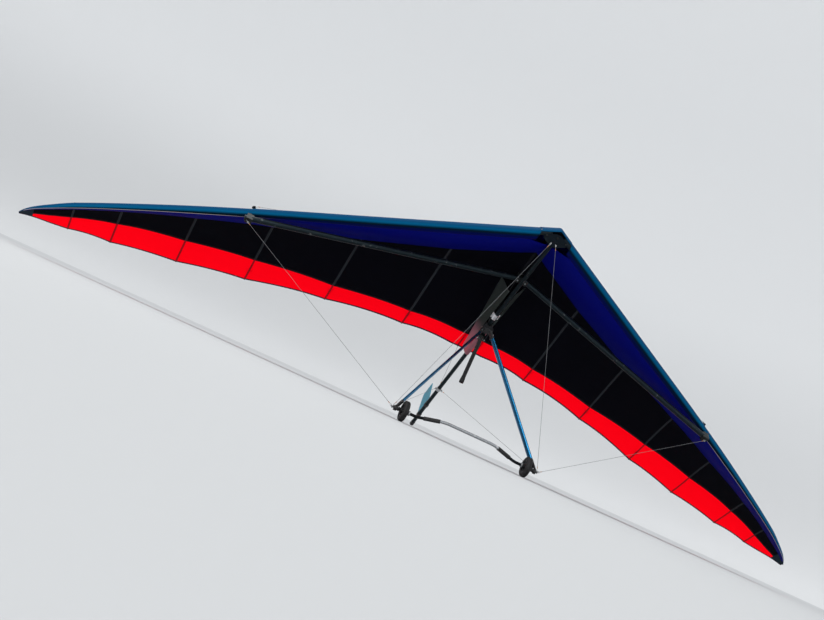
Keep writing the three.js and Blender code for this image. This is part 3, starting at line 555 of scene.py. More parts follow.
def lower(x, t):
    """The undersurface: a cubic from the nose, down round the tube and aft to the crown's cloth."""
    nose_y, nose_z, rear_y, _, _, under, _ = section(x)
    whole = rear_y - nose_y
    depth = BELLY * np.minimum(1, whole / BELLY_CHORD)
    end = upper(x, np.sqrt(under))
    end_z = end[..., 2] - 2 * CLOTH - UNDER_GAP
    b = [(1 - t) ** 3, 3 * (1 - t) ** 2 * t, 3 * (1 - t) * t**2, t**3]
    y = b[0] * nose_y + b[1] * nose_y + b[2] * (nose_y + 0.35 * under * whole) + b[3] * end[..., 1]
    z = b[0] * nose_z + (b[1] + b[2]) * (nose_z - depth) + b[3] * end_z
    return np.stack(np.broadcast_arrays(x, y, z), -1)


def chord(x):
    """Length of the wing's section at x, along the keel."""
    nose_y, _, rear_y, *_ = section(x)
    return rear_y - nose_y


print("chords at the root and at the crossbar's end:", chord(np.array([0.0, CROSSBAR_X])).round(3))

# %% [markdown]
# ## Sailcloth
#
# The sail is woven polyester. Close up it has a small square grid of thicker threads, further off
# it has soft creases where it is pulled, and the sun that falls on its back shows through the thin
# trailing band. The pattern follows each panel's own map, in metres, so it keeps its size and
# runs with the cloth.

# %% Sailcloth of one colour
THREAD_STEP = 0.006  # between two thicker threads
STITCH_LINES, STITCH_STEP = (0.005, 0.012), 0.005  # two rows beside each edge, and their stitches


def cloth_finish(name, colour, roughness, worn, glow=None, share=0.0, shine=0.12, by="uv"):
    """Sailcloth: a grid of thicker threads, soft creases, two rows of stitches by the edge, wear."""
    made = Finish(name, colour, roughness, Specular_IOR_Level=shine)
    u, v, _ = made.across(by)
    from_thread = [((way / THREAD_STEP).part() - 0.5).size() for way in (u, v)]
    grain = 1 - from_thread[0].most(from_thread[1]).below(0.44, 0.03)
    crease = made.noise(2.2, detail=2.0, stretch=(1, 0.45, 0.45))
    dust = made.noise(9.0, detail=5.0)
    fade = (dust - 0.60).most(0) * 0.5 + grain * 0.06
    relief = crease * 0.8 + grain * 0.02
    if by == "uv":
        near, far = [(v.size() - line).size() for line in STITCH_LINES]
        thread = ((u / STITCH_STEP).part() - 0.35).size().below(0.3, 0.05)
        stitch = near.least(far).below(0.0011, 0.0004) * thread
        fade = fade + stitch * 0.5
        relief = relief - stitch * 0.05
    made.use(
        colour=made.blend(fade, colour, worn),
        roughness=roughness - 0.08 + dust * 0.16,
        height=relief,
        depth=0.010,
        strength=0.35,
    )
    if glow is not None:
        made.lit_through(glow, share)
    return made


UNDER_CLOTH = cloth_finish(
    "undersurface_cloth", (0.0005, 0.0022, 0.150), 0.65, (0.002, 0.009, 0.20), shine=0.03
)
SUNLIT = {"glow": (1.0, 0.0, 0.045), "share": 0.72, "shine": 0.04}  # red cloth with the sun behind it
BAND_CLOTH = cloth_finish("trailing_cloth", (0.95, 0.0006, 0.035), 0.60, (0.70, 0.002, 0.04), **SUNLIT)
print("nodes in the band's finish:", len(BAND_CLOTH.tree.nodes))

# %% Cloth of more colours
BLUE_OUT = (2.70, 0.35)  # the blue ends here along the span, and fades over this


def edge_cloth():
    """Teal over the front, a brighter teal painted on its lower front as light falling there, near black
    painted on the belly under the tube as shade, and blue again ahead of the inner undersurface.
    """
    made = cloth_finish("leading_edge_cloth", (0.0003, 0.046, 0.120), 0.60, (0.01, 0.08, 0.17), shine=0.02)
    out, behind, _ = made.across()
    # painted light: a brighter teal on the lower front of the cloth, just under the nose
    low = made.blend(behind.below(0.022, 0.022), (0.0003, 0.095, 0.220), made.painted())
    # painted shade: near black on the belly under the tube
    dark = made.blend(behind.below(0.044, 0.018), (0.0010, 0.0090, 0.0160), low)
    inner = out.size().below(*BLUE_OUT) * (1 - behind.below(0.085, 0.035))
    return made.use(colour=made.blend(inner, dark, (0.0006, 0.0022, 0.095)))


def plain(vector):
    """A unit vector as three plain numbers, which a node's socket takes."""
    return tuple(map(float, unit(vector)))


def behind_nose(made):
    """How far the place lies aft of the nose along the keel, in metres."""
    aft = plain(TURN @ AFT)
    return made.measured(aft) - float(aft @ SHIFT)


def crown_cloth():
    """Black, with a blue patch sewn in at the nose, where the undersurface leaves it open."""
    made = cloth_finish("crown_cloth", (0.0008, 0.0008, 0.0030), 0.75, (0.010, 0.010, 0.016), shine=0.05)
    patch = behind_nose(made).below(0.53, 0.002)
    return made.use(colour=made.blend(patch, made.painted(), (0.0006, 0.0030, 0.150)))


def keel_cloth():
    """Thin grey cloth in long folds, painted in lighter and darker streaks as light and shade on the folds.
    Aft it is painted paler and pinker as the band's light falling on it, and the light through it is tinted
    pinker there too.
    """
    made = cloth_finish("keel_pocket_cloth", (0.030, 0.038, 0.042), 0.70, (0.10, 0.11, 0.11))
    behind = 1 - behind_nose(made).below(1.62, 0.12)
    flat = made.add("ShaderNodeUVMap", {"uv_map": "cloth"}).outputs[0]
    drawn = made.add("ShaderNodeMapping", {}, flat, Scale=(0.05, 1, 1)).outputs[0]
    fold = made.noise(55.0, detail=2.0, at=drawn)
    # painted light and shade: the folds as pale and dark streaks
    front = made.blend(fold, (0.022, 0.029, 0.028), (0.085, 0.097, 0.088))
    # painted light: paler, pinker cloth aft, as the band's red light falling on it
    rear = made.blend(fold, (0.30, 0.100, 0.140), (0.60, 0.32, 0.38))
    made.use(colour=made.blend(behind, front, rear), height=fold, depth=0.008, strength=0.5)
    # the light through the cloth is tinted pinker aft as well, as the band's light
    return made.lit_through(made.blend(behind, (0.30, 0.34, 0.36), (0.95, 0.50, 0.56)), 0.5)


CROWN_CLOTH = crown_cloth()
EDGE_CLOTH = edge_cloth()
KEEL_CLOTH = keel_cloth()
print("nodes in the keel pocket's finish:", len(KEEL_CLOTH.tree.nodes))

# %% Tapes, patches and cords
FIN_LIGHT = {"glow": (0.15, 0.5, 0.62), "share": 0.3, "shine": 0.4}
small_pieces = {  # colour, roughness, worn colour, and what differs from plain cloth
    "seam_tape": ((0.004, 0.004, 0.007), 0.70, (0.03, 0.03, 0.035), {}),
    "batten_pocket_cloth": ((0.019, 0.022, 0.027), 0.65, (0.06, 0.06, 0.06), {}),
    # a darker red than the band: the batten's shade through the cloth is painted in
    "shaded_red_pocket_cloth": ((0.38, 0.0010, 0.008), 0.65, (0.45, 0.004, 0.02), {}),
    "hem_tape": ((0.010, 0.002, 0.022), 0.60, (0.05, 0.01, 0.06), {}),
    "patch_cloth": ((0.80, 0.001, 0.035), 0.60, (0.6, 0.002, 0.04), SUNLIT),
    "tip_cloth": ((0.001, 0.012, 0.024), 0.55, (0.01, 0.03, 0.05), {}),
    "fin_cloth": ((0.05, 0.27, 0.37), 0.45, (0.16, 0.36, 0.42), FIN_LIGHT),
}
BLACK_TAPE, BATTEN_TAPE, SHADED_RED_TAPE, HEM_TAPE, PATCH_CLOTH, TIP_CLOTH, FIN_CLOTH = [
    cloth_finish(name, *tones, by="place", **extra) for name, (*tones, extra) in small_pieces.items()
]
PIPING = Finish("piping", (0.34, 0.30, 0.31), 0.5, Specular_IOR_Level=0.1)
blue = PIPING.across("place")[0].size().below(*BLUE_OUT)
PIPING.use(
    colour=PIPING.blend(blue, (0.34, 0.30, 0.31), (0.0008, 0.0024, 0.070)),
    roughness=0.45 + PIPING.noise(60.0) * 0.2,
)
CORD = Finish("black_cord", (0.012, 0.012, 0.014), 0.7)
CORD.use(roughness=0.6 + CORD.noise(400.0) * 0.25)
print("tapes, patches and the fin:", list(small_pieces))

# %% [markdown]
# ## The sail's panels
#
# Each panel could be pulled into place by a cloth simulation, but a rigged sail is stretched so
# tight that its shape is known: it follows the ribs, and sinks a little between them. So each
# panel is a grid over the span and the chord, worked out in one go, and a Solidify modifier gives
# it the thickness of cloth. The two undersurface panels meet over the keel.

# %% From a grid to a panel
SPAN_STEP = 0.03
SAG = 0.006  # how far the crown sinks between two ribs
SHEET = 0.0011  # thickness of the cloth
FIRST_X = 0.0003  # each half of the sail begins this far from the middle


def span(start, end):
    """Places along the half span: every rib from start to end, and even steps between them."""
    ribs = RIBS[:, 0]
    marks = np.concatenate([[start], ribs[(ribs > start + 1e-3) & (ribs < end - 1e-3)], [end]])
    counts = np.maximum(np.round(np.diff(marks) / SPAN_STEP), 1).astype(int)
    parts = [np.linspace(a, b, n, endpoint=False) for a, b, n in zip(marks[:-1], marks[1:], counts)]
    return np.append(np.concatenate(parts), end)


def lengths(points):
    """Distance along each row and each column of a grid, starting from 0."""
    down = np.linalg.norm(np.diff(points, axis=1), axis=2)
    out = np.linalg.norm(np.diff(points, axis=0), axis=2)
    return np.pad(np.cumsum(down, 1), ((0, 0), (1, 0))), np.pad(np.cumsum(out, 0), ((1, 0), (0, 0)))


def area(points):
    """The grid's area: half the cross product of each cell's diagonals, added up."""
    one = points[1:, 1:] - points[:-1, :-1]
    two = points[:-1, 1:] - points[1:, :-1]
    return float(np.linalg.norm(np.cross(one, two), axis=2).sum() / 2)


def stretched(name, points, uv, finish, node, offset):
    """A sheet over a whole grid, which stands for one CAD node. Solidify gives it its thickness."""
    down, out = lengths(points)
    flat, faces = grid(parked(points))
    made = mapped(name, flat, faces, finish, "glider", uv)
    thick = made.modifiers.new("cloth", "SOLIDIFY")
    thick.thickness, thick.offset = SHEET, offset
    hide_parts(node)
    size = (float(down[:, -1].max()), float(out[-1].max()))
    cut = min(area(points), 0.999 * size[0] * size[1])


def panel(name, points, finish, side, node, facing=-1, v=None):
    """A panel given for the left wing. v is measured from its rear edge; facing 1 turns it over."""
    if v is None:
        down = lengths(points)[0]
        v = down[:, -1:] - down
    uv = np.stack([points[..., 0] + 0 * v, v], -1)
    if side < 0:
        points, uv = points[::-1] * [-1, 1, 1], uv[::-1]
    if facing < 0:
        points, uv = points[:, ::-1], uv[:, ::-1]
    which = "left" if side > 0 else "right"
    stretched(f"{name}_{which}", points, uv, finish, f"{node}_{which}", -1)


print("places along the half span:", len(span(FIRST_X, TIP_X)))

# %% Where each panel begins and ends
OVERLAP = 0.0022  # how far the band's parameter starts ahead of the seam
BAND_DROP = 0.0007  # the band lies this far under the crown's surface
UNDER_START = POCKET_BELLY + 0.0025  # the undersurface's parameter at its front seam
UNDER_END = TIP_X - 0.045  # x where it ends, just short of the tip
PLATES_X, PLATES_END = POCKET_START + 0.06, 0.250  # the nose plates need room up to this x and y
KEEL_SLOT = [FIRST_X, 0.012, 0.0215, 0.0236]  # x of the undersurface's columns over the keel


def band_start(x):
    """The crown's parameter where the trailing band begins."""
    return np.sqrt(1 - section(x)[6])


def under_start(x):
    """The undersurface's parameter at its front: the pocket's seam, or further aft by the nose plates."""
    t = np.linspace(UNDER_START, 0.95, 400)
    y = lower(x[:, None], t[None])[..., 1]
    aft = t[np.argmax(y > PLATES_END, axis=1)]
    return np.where(x < PLATES_X, np.maximum(aft, UNDER_START), UNDER_START)


def over_keel(x):
    """The undersurface passes over the keel: an arc of 23.6 mm about it, and no limit beside it."""
    return np.where(x <= KEEL_SLOT[-1], np.sqrt(np.maximum(KEEL_SLOT[-1] ** 2 - x**2, 0)), -1)


def crown_sheets():
    """The crown and its trailing band: upper() from the leading edge's cloth to the seam, and on."""
    x = span(FIRST_X, TIP_X)[:, None]
    meet = band_start(x)
    crown = upper(x, POCKET_TOP + (meet - POCKET_TOP) * np.linspace(0, 1, 44), SAG)
    start = meet - OVERLAP
    band = upper(x, start + (1 - start) * np.linspace(0, 1, 14), SAG) - [0, 0, BAND_DROP]
    return crown, band


def edge_sheet():
    """The leading edge's cloth: upper() back to the nose and lower() on from it, with v = 0 there."""
    x = span(POCKET_START, TIP_X)[:, None]
    top = upper(x, np.linspace(POCKET_TOP, 0, 18)[None], SAG)
    belly = lower(x, np.linspace(0, POCKET_BELLY, 16)[None, 1:])
    wrap = np.concatenate([top, belly], axis=1)
    down = lengths(wrap)[0]
    nose = top.shape[1] - 1
    return wrap, down - down[:, nose : nose + 1]


def under_sheet():
    """The undersurface: lower() from its front seam aft, hanging 4 mm deeper between two ribs."""
    x = np.append(KEEL_SLOT, span(0.024, UNDER_END))
    share = np.linspace(0, 1, 24)
    start = under_start(x)[:, None]
    under = lower(x[:, None], start + (1 - start) * share)
    puff = 0.004 * bay(x)[:, None] * np.sin(np.pi * share)
    under[..., 2] = np.maximum(under[..., 2] - puff, over_keel(x)[:, None])
    return under


print("the undersurface begins at", under_start(np.array([0.02, 1.0])).round(3))

# %% Panels, both sides
crown, band = crown_sheets()
edge, from_nose = edge_sheet()
under = under_sheet()
for _, side in SIDES:
    panel("crown", crown, CROWN_CLOTH, side, "sail_crown")
    panel("band", band, BAND_CLOTH, side, "sail_trailing_band")
    panel("edge", edge, EDGE_CLOTH, side, "sail_leading_edge", facing=1, v=from_nose)
    panel("undersurface", under, UNDER_CLOTH, side, "sail_undersurface", facing=1)

# %% [markdown]
# ## Batten pockets, hems and seams
#
# Seven battens a side hold the wing's section. Each slides into a narrow pocket sewn along the
# crown, grey on the black cloth and narrower on the red, where it is a darker red with the
# batten's shade painted in, and a plastic tip sticks out of its end. The trailing edge is folded
# into a dark hem, a tape covers the seam between black and red, and a cord is sewn in where the
# leading edge's cloth meets the undersurface. Each one is a thin closed shell that follows the
# cloth, so it looks right from above and from below.

# %% Sewn tapes on the sail


def ahead_of_rear(x, back):
    """The crown's parameter at a distance ahead of the trailing edge: the root of 1 - back / chord."""
    return np.sqrt(np.clip(1 - back / chord(x), 0, 1))


MID_CLOTH = 0.0006  # the middle of the cloth's thickness lies this far under upper()
POCKET_OUTLINE = ring(1, 14) * [0.0125, 0.0045]
POCKET_FRONT = 0.285  # the crown's parameter where a batten pocket begins
TIP_PROFILE = [(-0.012, 0.0046), (0.000, 0.0052), (0.003, 0.0040), (0.008, 0.0040), (0.011, 0.0020)]


def sewn(points, above, below, drop=MID_CLOTH):
    """A closed tape over a grid lowered by drop: above and below it by two distances, along normals."""
    points = points - [0, 0, drop]
    normal = unit(np.cross(np.gradient(points, axis=0), np.gradient(points, axis=1)))
    return capped(np.concatenate([points + normal * above, (points - normal * below)[:, ::-1]], axis=1))


def batten(x, on_band):
    """A flattened tube along the crown at one rib, narrower where it lies on the band."""
    meet = float(band_start(np.array(x)))
    w = np.linspace(meet, 1, 12) if on_band else np.linspace(POCKET_FRONT, meet, 26)
    path = upper(np.full_like(w, x), w) - [0, 0, MID_CLOTH]
    return capped(carried(path, POCKET_OUTLINE * (0.75 if on_band else 1)))


def batten_tip(x):
    """The batten's plastic tip with its notch for the tie, just out of the pocket."""
    end, before = upper(np.full(2, x), np.array([1, 0.99]))
    return turned(TIP_PROFILE, end - [0, 0, 0.0012], end - before, 12)


def hem():
    """The fold along the trailing edge: from 16 mm ahead of it to 2 mm past it."""
    x = span(FIRST_X, TIP_X)[:, None]
    w = ahead_of_rear(x, np.array([[0.016, 0.008, 0.002, 0.0]]))
    fold = upper(x, w, SAG)
    fold = np.concatenate([fold, 2 * fold[:, 3:] - fold[:, 2:3]], axis=1)
    return sewn(fold, 0.0017, 0.0017, drop=0.0012)


def seam():
    """The tape over the seam between the crown and its trailing band, 20 mm wide."""
    x = span(FIRST_X, TIP_X)[:, None]
    back = section(x)[6] * chord(x) + np.array([[0.011, 0.004, -0.004, -0.009]])
    return sewn(upper(x, ahead_of_rear(x, back), SAG), 0.0016, 0.0016, drop=0.0009)


def tip_fairing():
    """The end of the wing is covered by a piece of the leading edge's cloth, sewn over the crown."""
    x = np.linspace(4.615, TIP_X - 0.001, 12)[:, None]
    w = np.linspace(POCKET_TOP - 0.01, 1, 24)[None]
    return sewn(upper(x, w, SAG), 0.0022, 0.0022)


def piping():
    """A cord of 5 mm in the seam below the leading edge."""
    x = span(POCKET_START, UNDER_END)
    path = lower(x, np.full_like(x, POCKET_BELLY + 0.001)) - [0, 0, 0.0008]
    return tube(path, 0.0026, 8)


print("faces of a batten pocket:", len(batten(BATTENS[0], False)[1]))

# %% Tapes on both sides
sewn_on = {  # shapes of the left side, their finish, and the angle from which an edge is hard
    "batten_pockets": ([batten(x, False) for x in BATTENS], BATTEN_TAPE, 60),
    "batten_pockets_rear": ([batten(x, True) for x in BATTENS], SHADED_RED_TAPE, 60),
    "batten_tips": ([batten_tip(x) for x in BATTENS], CORD, 40),
    "hem": ([hem()], HEM_TAPE, 60),
    "seam_tape": ([seam()], BLACK_TAPE, 60),
    "piping": ([piping()], PIPING, 60),
    "tip_fairing": ([tip_fairing()], TIP_CLOTH, 60),
}
for name, side in SIDES:
    for part, (shapes, finish, sharp) in sewn_on.items():
        piece(f"{part}_{name}", on_side(side, shapes), finish, sharp=sharp)

across = np.linspace(-0.016, 0.016, 5)[:, None]
rows = np.concatenate([np.linspace(0.27, 0.72, 24), np.linspace(0.74, 1, 20)])[None]
root = upper(np.abs(across), rows)
root[..., 0] = across
piece("root_tape", [sewn(root, 0.0018, 0.0018)], BLACK_TAPE, sharp=60)
print("battens at x =", BATTENS.tolist())

# %% [markdown]
# ## Nose cone and keel pocket
#
# A fitted piece of cloth closes the nose between the two leading edges. Behind the crossbar two
# walls of thin grey cloth hang from the crown to the keel, and pass under it at the rear. The
# light shows through them. Both could be solids, but a sheet with a little pull in it, given its
# thickness by Solidify, is what the sailmaker makes.

# %% Nose cone
CONE = {"half": POCKET_START - SEAM, "lift": 0.0036, "point": 0.004, "point_half": 0.060}
CONE_MIDDLE = 0.006  # nearer to the middle than this, the cone keeps its outline


def nose_wrap(x, q):
    """The leading edge's outline at x: over the crown's front for q under a half, then underneath."""
    over = upper(x, POCKET_TOP * (1 - np.minimum(q, 0.5) / 0.5))
    under = lower(x, POCKET_BELLY * (np.maximum(q, 0.5) - 0.5) / 0.5)
    return np.where((q < 0.5)[..., None], over, under)


def nose_cone():
    """The nose outline from 0.05 to 0.60, lifted a little, and drawn out to a point in its middle."""
    x = np.linspace(-CONE["half"], CONE["half"], 61)[:, None]
    q = np.linspace(0, 1, 34)[None]
    x, q = np.broadcast_arrays(x, q)
    p = nose_wrap(np.maximum(np.abs(x), CONE_MIDDLE), 0.05 + 0.55 * q)
    near = np.maximum(0, 1 - np.abs(x) / CONE["point_half"])
    y = p[..., 1] - CONE["lift"] - CONE["point"] * near * q
    return np.stack([x, y, p[..., 2] + CONE["lift"] * (1 - q)], -1)


def drape(name, points, finish, node, zero=0):
    """A sheet in the middle of the glider, mapped by its own lengths, with v = 0 at column zero."""
    down, out = lengths(points)
    uv = np.stack([out, down - down[:, zero : zero + 1]], -1)
    stretched(name, points, uv, finish, node, 0)


drape("nose_cone_cloth", nose_cone(), EDGE_CLOTH, "nose_cone", zero=27)
print("nose cone's area in square metres:", round(area(nose_cone()), 3))

# %% Keel pocket
POCKET = {"front": 0.980, "wrap": 1.668, "rear": 1.950, "front_half": 0.140, "rear_half": 0.062}
POCKET_FOOT = (0.036, 0.025)  # x and z of the walls' lower edges
PULL, PUCKER = 0.0035, 0.0018  # how far the walls are drawn in midway, and the waves on that


def pocket_wall(side):
    """A wall of the pocket: straight from the crown to its foot, drawn in a little midway and puckered."""
    share, q = np.linspace(0, 1, 60)[:, None], np.linspace(0, 1, 24)[None]
    y = POCKET["front"] + (POCKET["rear"] - POCKET["front"]) * share
    half = POCKET["front_half"] + (POCKET["rear_half"] - POCKET["front_half"]) * share
    nose_y, _, rear_y, *_ = section(half)
    top = upper(half, np.sqrt((y - nose_y) / (rear_y - nose_y)))[..., 2] - CLOTH
    pull = np.sin(np.pi * q) * (PULL + PUCKER * np.sin(52 * y + 6 * q))
    x = half + (POCKET_FOOT[0] - half) * q - pull
    z = top + (POCKET_FOOT[1] - top) * q
    return np.stack(np.broadcast_arrays(side * x, y, z), -1)


def pocket_floor():
    """The part that passes below the keel: a half circle just outside the tube, up to both feet."""
    y = np.linspace(POCKET["wrap"], POCKET["rear"], 24)[:, None]
    a = np.linspace(0, np.pi, 17)
    radius = KEEL_RADIUS + 0.0024
    x = np.concatenate([[POCKET_FOOT[0]], radius * np.cos(a), [-POCKET_FOOT[0]]])[None]
    z = np.concatenate([[POCKET_FOOT[1]], -radius * np.sin(a), [POCKET_FOOT[1]]])[None]
    return np.stack(np.broadcast_arrays(x, y, z), -1)


for name, side in SIDES:
    drape(f"pocket_wall_{name}", pocket_wall(side), KEEL_CLOTH, "keel_pocket")
drape("pocket_floor", pocket_floor(), KEEL_CLOTH, "keel_pocket")
print("pocket wall's area in square metres:", round(area(pocket_wall(1)), 3))

# %% [markdown]
# ## Tubes, castings and rubber
#
# The airframe's tubes are drawn alloy, so their surface has fine streaks along the tube, not
# round it. Shrinking the coordinate along the tube's axis, before it goes into a noise, stretches
# the noise into such streaks. Castings and moulded parts get a fine grain without a direction.
# The base bar is bare alloy only between its grips.

# %% Alloy, mouldings and webbing


def tube_finish(name, colour, roughness, axis, scuffed, metallic=0.9):
    """Drawn alloy: streaks along the axis, clouded anodising, and scuffs where it was knocked."""
    made = Finish(name, colour, roughness, metallic)
    streak = made.noise(380.0, detail=2.0, at=made.drawn(plain(TURN @ axis), 0.02))
    cloud = made.noise(5.0)
    knock = ((made.noise(26.0, detail=6.0) - 0.63).most(0) * 7).least(1)
    shade = tuple(c * 0.72 for c in colour)
    return made.use(
        colour=made.blend(knock, made.blend(cloud, colour, shade), scuffed),
        roughness=roughness - 0.07 + streak * 0.16 + knock * 0.12,
        height=streak - knock * 0.3,
        depth=0.0002,
        strength=0.4,
    )


def moulded_finish(name, colour, roughness, grain=900.0, worn=(0.06, 0.06, 0.065), metallic=0.0):
    """Moulded plastic, rubber or a casting: a fine even grain, with paler rubbed spots."""
    made = Finish(name, colour, roughness, metallic)
    fine = made.noise(grain, detail=2.0)
    rubbed = ((made.noise(18.0, detail=5.0) - 0.60).most(0) * 4).least(1)
    return made.use(
        colour=made.blend(rubbed * 0.7, colour, worn),
        roughness=roughness - 0.06 + fine * 0.14 - rubbed * 0.08,
        height=fine,
        depth=0.0004,
        strength=0.5,
    )


RIDGE_STEP = 0.008
WEAVE = 3927  # radians to the metre: a thread every 1.6 mm


def ribbed_rubber():
    """A grip's rubber: grain, and a ring moulded every 8 mm along x."""
    made = moulded_finish("grip_rubber", (0.010, 0.010, 0.011), 0.7)
    x, _, _ = made.across("place")
    ridge = ((x / RIDGE_STEP).part() - 0.5).size().below(0.28, 0.08)
    return made.use(height=ridge + made.noise(900.0) * 0.2, depth=0.0012)


def webbing_finish(name, colour, worn):
    """Woven strap: threads both ways, paler along two rows beside its edges, and a little fuzz."""
    made = Finish(name, colour, 0.8, Specular_IOR_Level=0.25)
    u, v, _ = made.across()
    weave = (u * WEAVE).wave() * (v * WEAVE).wave()
    edge = (u.size() - 0.0155).size().below(0.0008, 0.0003)
    fuzz = made.noise(500.0)
    return made.use(
        colour=made.blend((weave * 0.15 + 0.15 + edge * 0.6).most(0), colour, worn),
        roughness=0.72 + fuzz * 0.2,
        height=weave * 0.5 + fuzz * 0.6,
        depth=0.0006,
    )


print("threads of the webbing in millimetres:", round(2000 * np.pi / WEAVE, 2))

# %% Which node has which finish
SPAR_AXES = {  # along each tube of the left side, in metres
    "crossbar": (CROSSBAR_X - 0.022, rib(1, CROSSBAR_X) - CROSSBAR_Y, -0.138),
    "leading_edge_tube": (4.188, 2.38, 0.056),
    "downtube": (CORNER[0] - 0.038, 0.080, -1.434),
}
DARK = {"colour": (0.014, 0.022, 0.027), "roughness": 0.42, "scuffed": (0.16, 0.17, 0.17)}
BRIGHT = {"colour": (0.36, 0.47, 0.53), "roughness": 0.24, "scuffed": (0.62, 0.64, 0.66)}
TEAL = {"colour": (0.014, 0.135, 0.280), "roughness": 0.20, "scuffed": (0.07, 0.22, 0.35)}
GRIP_X = float(np.mean(np.array(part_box("grip_left"))[:, 0]))


def bar_finish():
    """The base bar: bare alloy between the grips, and a black sleeve from each grip outwards."""
    made = tube_finish("base_bar_alloy", (0.46, 0.48, 0.50), 0.26, OUT, (0.66, 0.67, 0.68))
    bare = made.across("place")[0].size().below(GRIP_X, 0.002)
    return made.use(colour=made.blend(bare, (0.012, 0.014, 0.016), made.painted()))


finishes = {
    "keel_tube": tube_finish("keel_alloy", axis=AFT, **DARK),
    "base_bar": bar_finish(),
    "kingpost": tube_finish("kingpost_alloy", axis=UP, **BRIGHT),
}
for name, side in SIDES:
    for spar, (x, y, z) in SPAR_AXES.items():
        look = TEAL if spar == "downtube" else DARK
        finishes[f"{spar}_{name}"] = tube_finish(f"{spar}_{name}_alloy", axis=(side * x, y, z), **look)

PLASTIC = moulded_finish("moulded_plastic", (0.012, 0.012, 0.014), 0.5)
RUBBER = moulded_finish("tyre_rubber", (0.009, 0.009, 0.010), 0.8, 700.0, (0.05, 0.048, 0.045))
GRIP = ribbed_rubber()
STEEL = moulded_finish("brushed_steel", (0.42, 0.43, 0.44), 0.32, 1500.0, (0.6, 0.6, 0.6), 1.0)
POLISHED = moulded_finish("polished_steel", (0.80, 0.82, 0.84), 0.18, 1500.0, (0.90, 0.90, 0.90), 1.0)
DARK_STEEL = moulded_finish("dark_plate", (0.035, 0.040, 0.040), 0.42, 1200.0, (0.2, 0.2, 0.2), 0.9)
BLACK_PLATE = moulded_finish("black_plate", (0.002, 0.007, 0.012), 0.60, 1200.0, (0.008, 0.014, 0.020))
BLACK_PLATE.shader.inputs["Specular IOR Level"].default_value = 0.15
WEBBING = webbing_finish("webbing", (0.008, 0.008, 0.009), (0.07, 0.07, 0.075))

looks = {  # nodes in the middle, and nodes that come left and right
    PLASTIC: ("apex_bracket kingpost_shoe kingpost_cap keel_end_cap", "corner_bracket wheel_hub"),
    STEEL: ("hang_bracket rear_tang stay_upper_front stay_upper_rear",
            "crossbar_joint wheel_collar stay_lower_front stay_lower_rear stay_lower_side stay_upper_side"),
    DARK_STEEL: ("crossbar_centre_bracket nose_plate_lower nose_plate_upper", ""),
    RUBBER: ("", "wheel_tyre"),
    GRIP: ("", "grip"),
}
for look, (single, paired) in looks.items():
    finishes.update({node: look for node in single.split()})
    finishes.update({f"{node}_{name}": look for node in paired.split() for name, _ in SIDES})
for node, finish in finishes.items():
    for slot in nodes[node].material_slots:
        slot.material = finish.material
print("hard parts finished:", len(finishes))

# %% [markdown]
# ## Straps, fin and luff lines
#
# The hang strap is a loop of webbing round its pin. It is modelled directly, as a rounded band
# carried round a closed path, because a simulation would only find the same plumb line. The
# crossbar's haulback strap is the same band along a straight path, between two ropes. The fin is
# a stiff cloth blade on two clamps, and six thin lines run from the kingpost's top to patches near
# the trailing edge, where they hold the sail up when the wing dives.

# %% Straps
STRAP = {"y": 1.620, "drop": 0.048, "length": 0.500}
STRAP_HALF = {"pin": 0.0095, "waist": 0.0031, "foot": 0.0215}  # half widths of the loop
STRAP_OPEN = {"pin": 0.045, "foot": 0.066}  # lengths over which it opens to those widths
FOOT_UP = 0.024  # from the loop's lowest point to the middle of its foot


def smooth(t):
    """0 below 0, 1 above 1, and 3t^2 - 2t^3 between."""
    t = np.clip(t, 0, 1)
    return t * t * (3 - 2 * t)


def strap_line():
    """Half widths of the loop down its length: wide at the pin and the foot, closed at the waist."""
    pin, waist, foot = STRAP_HALF.values()
    end = FOOT_UP - STRAP["length"]
    fall = np.linspace(0, end, 60)[1:-1]
    near_pin = smooth(1 + fall / STRAP_OPEN["pin"])
    near_foot = smooth(1 - (fall - end) / STRAP_OPEN["foot"])
    half = waist + (pin - waist) * near_pin + (foot - waist) * near_foot
    a = np.linspace(0, np.pi, 15)
    arc = np.column_stack([np.cos(a), np.sin(a)])
    left = np.column_stack([-half, fall])
    return np.concatenate([arc * pin, left, [0, end] - arc * foot, (left * [-1, 1])[::-1]])


def webbing(name, path, outline, node, body, closed):
    """An outline carried along a path in the middle plane: side path x OUT, then OUT itself.

    The map gives its width and its length. A path that isn't closed loses its two end rows.
    """
    side = unit(np.cross(np.roll(path, -1, axis=0) - np.roll(path, 1, axis=0), OUT))
    points = path[:, None] + outline[:, :1] * side[:, None] + outline[:, 1:] * OUT
    if not closed:
        points = points[1:-1]
    flat, faces = grid(points, wrap="both") if closed else capped(points)
    step = np.linalg.norm(np.diff(points[:, 0], axis=0, prepend=points[:1, 0]), axis=1)
    uv = np.stack(np.broadcast_arrays(outline[:, 1], np.cumsum(step)[:, None]), -1)
    made = mapped(name, parked(flat), faces, WEBBING, body, uv)
    outwards(made, 50)
    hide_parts(node)


plumb = TURN.T @ [0, 0, -1]
fore = np.cross(-plumb, OUT)
pin = np.array([0, STRAP["y"], -KEEL_RADIUS - STRAP["drop"]])
line = strap_line()
loop = pin + line[:, :1] * fore - line[:, 1:] * plumb
webbing("hang_strap_webbing", loop, rounded(0.0023, 0.0198, 0.0018), "hang_strap", "hang_strap", True)

haul_y = np.linspace(0.8405, 1.3695, 24)
bow = np.sin(np.pi * (haul_y - 0.840) / 0.530)  # 0 at both ends of the strap and 1 midway
haul = np.column_stack([0 * haul_y, haul_y, 0.0253 + 0.004 * bow])
webbing("haulback_webbing", haul, rounded(0.0018, 0.0118, 0.0014), "haulback_strap", "glider", False)
ropes = [tube([(x, 0.812, 0.064), (x * 0.24, 1.352, 0.032)], 0.0024, 8) for x in (0.042, -0.042)]
piece("haulback_ropes", ropes, CORD)
print("plumb in the rigger's frame:", plumb.round(3))

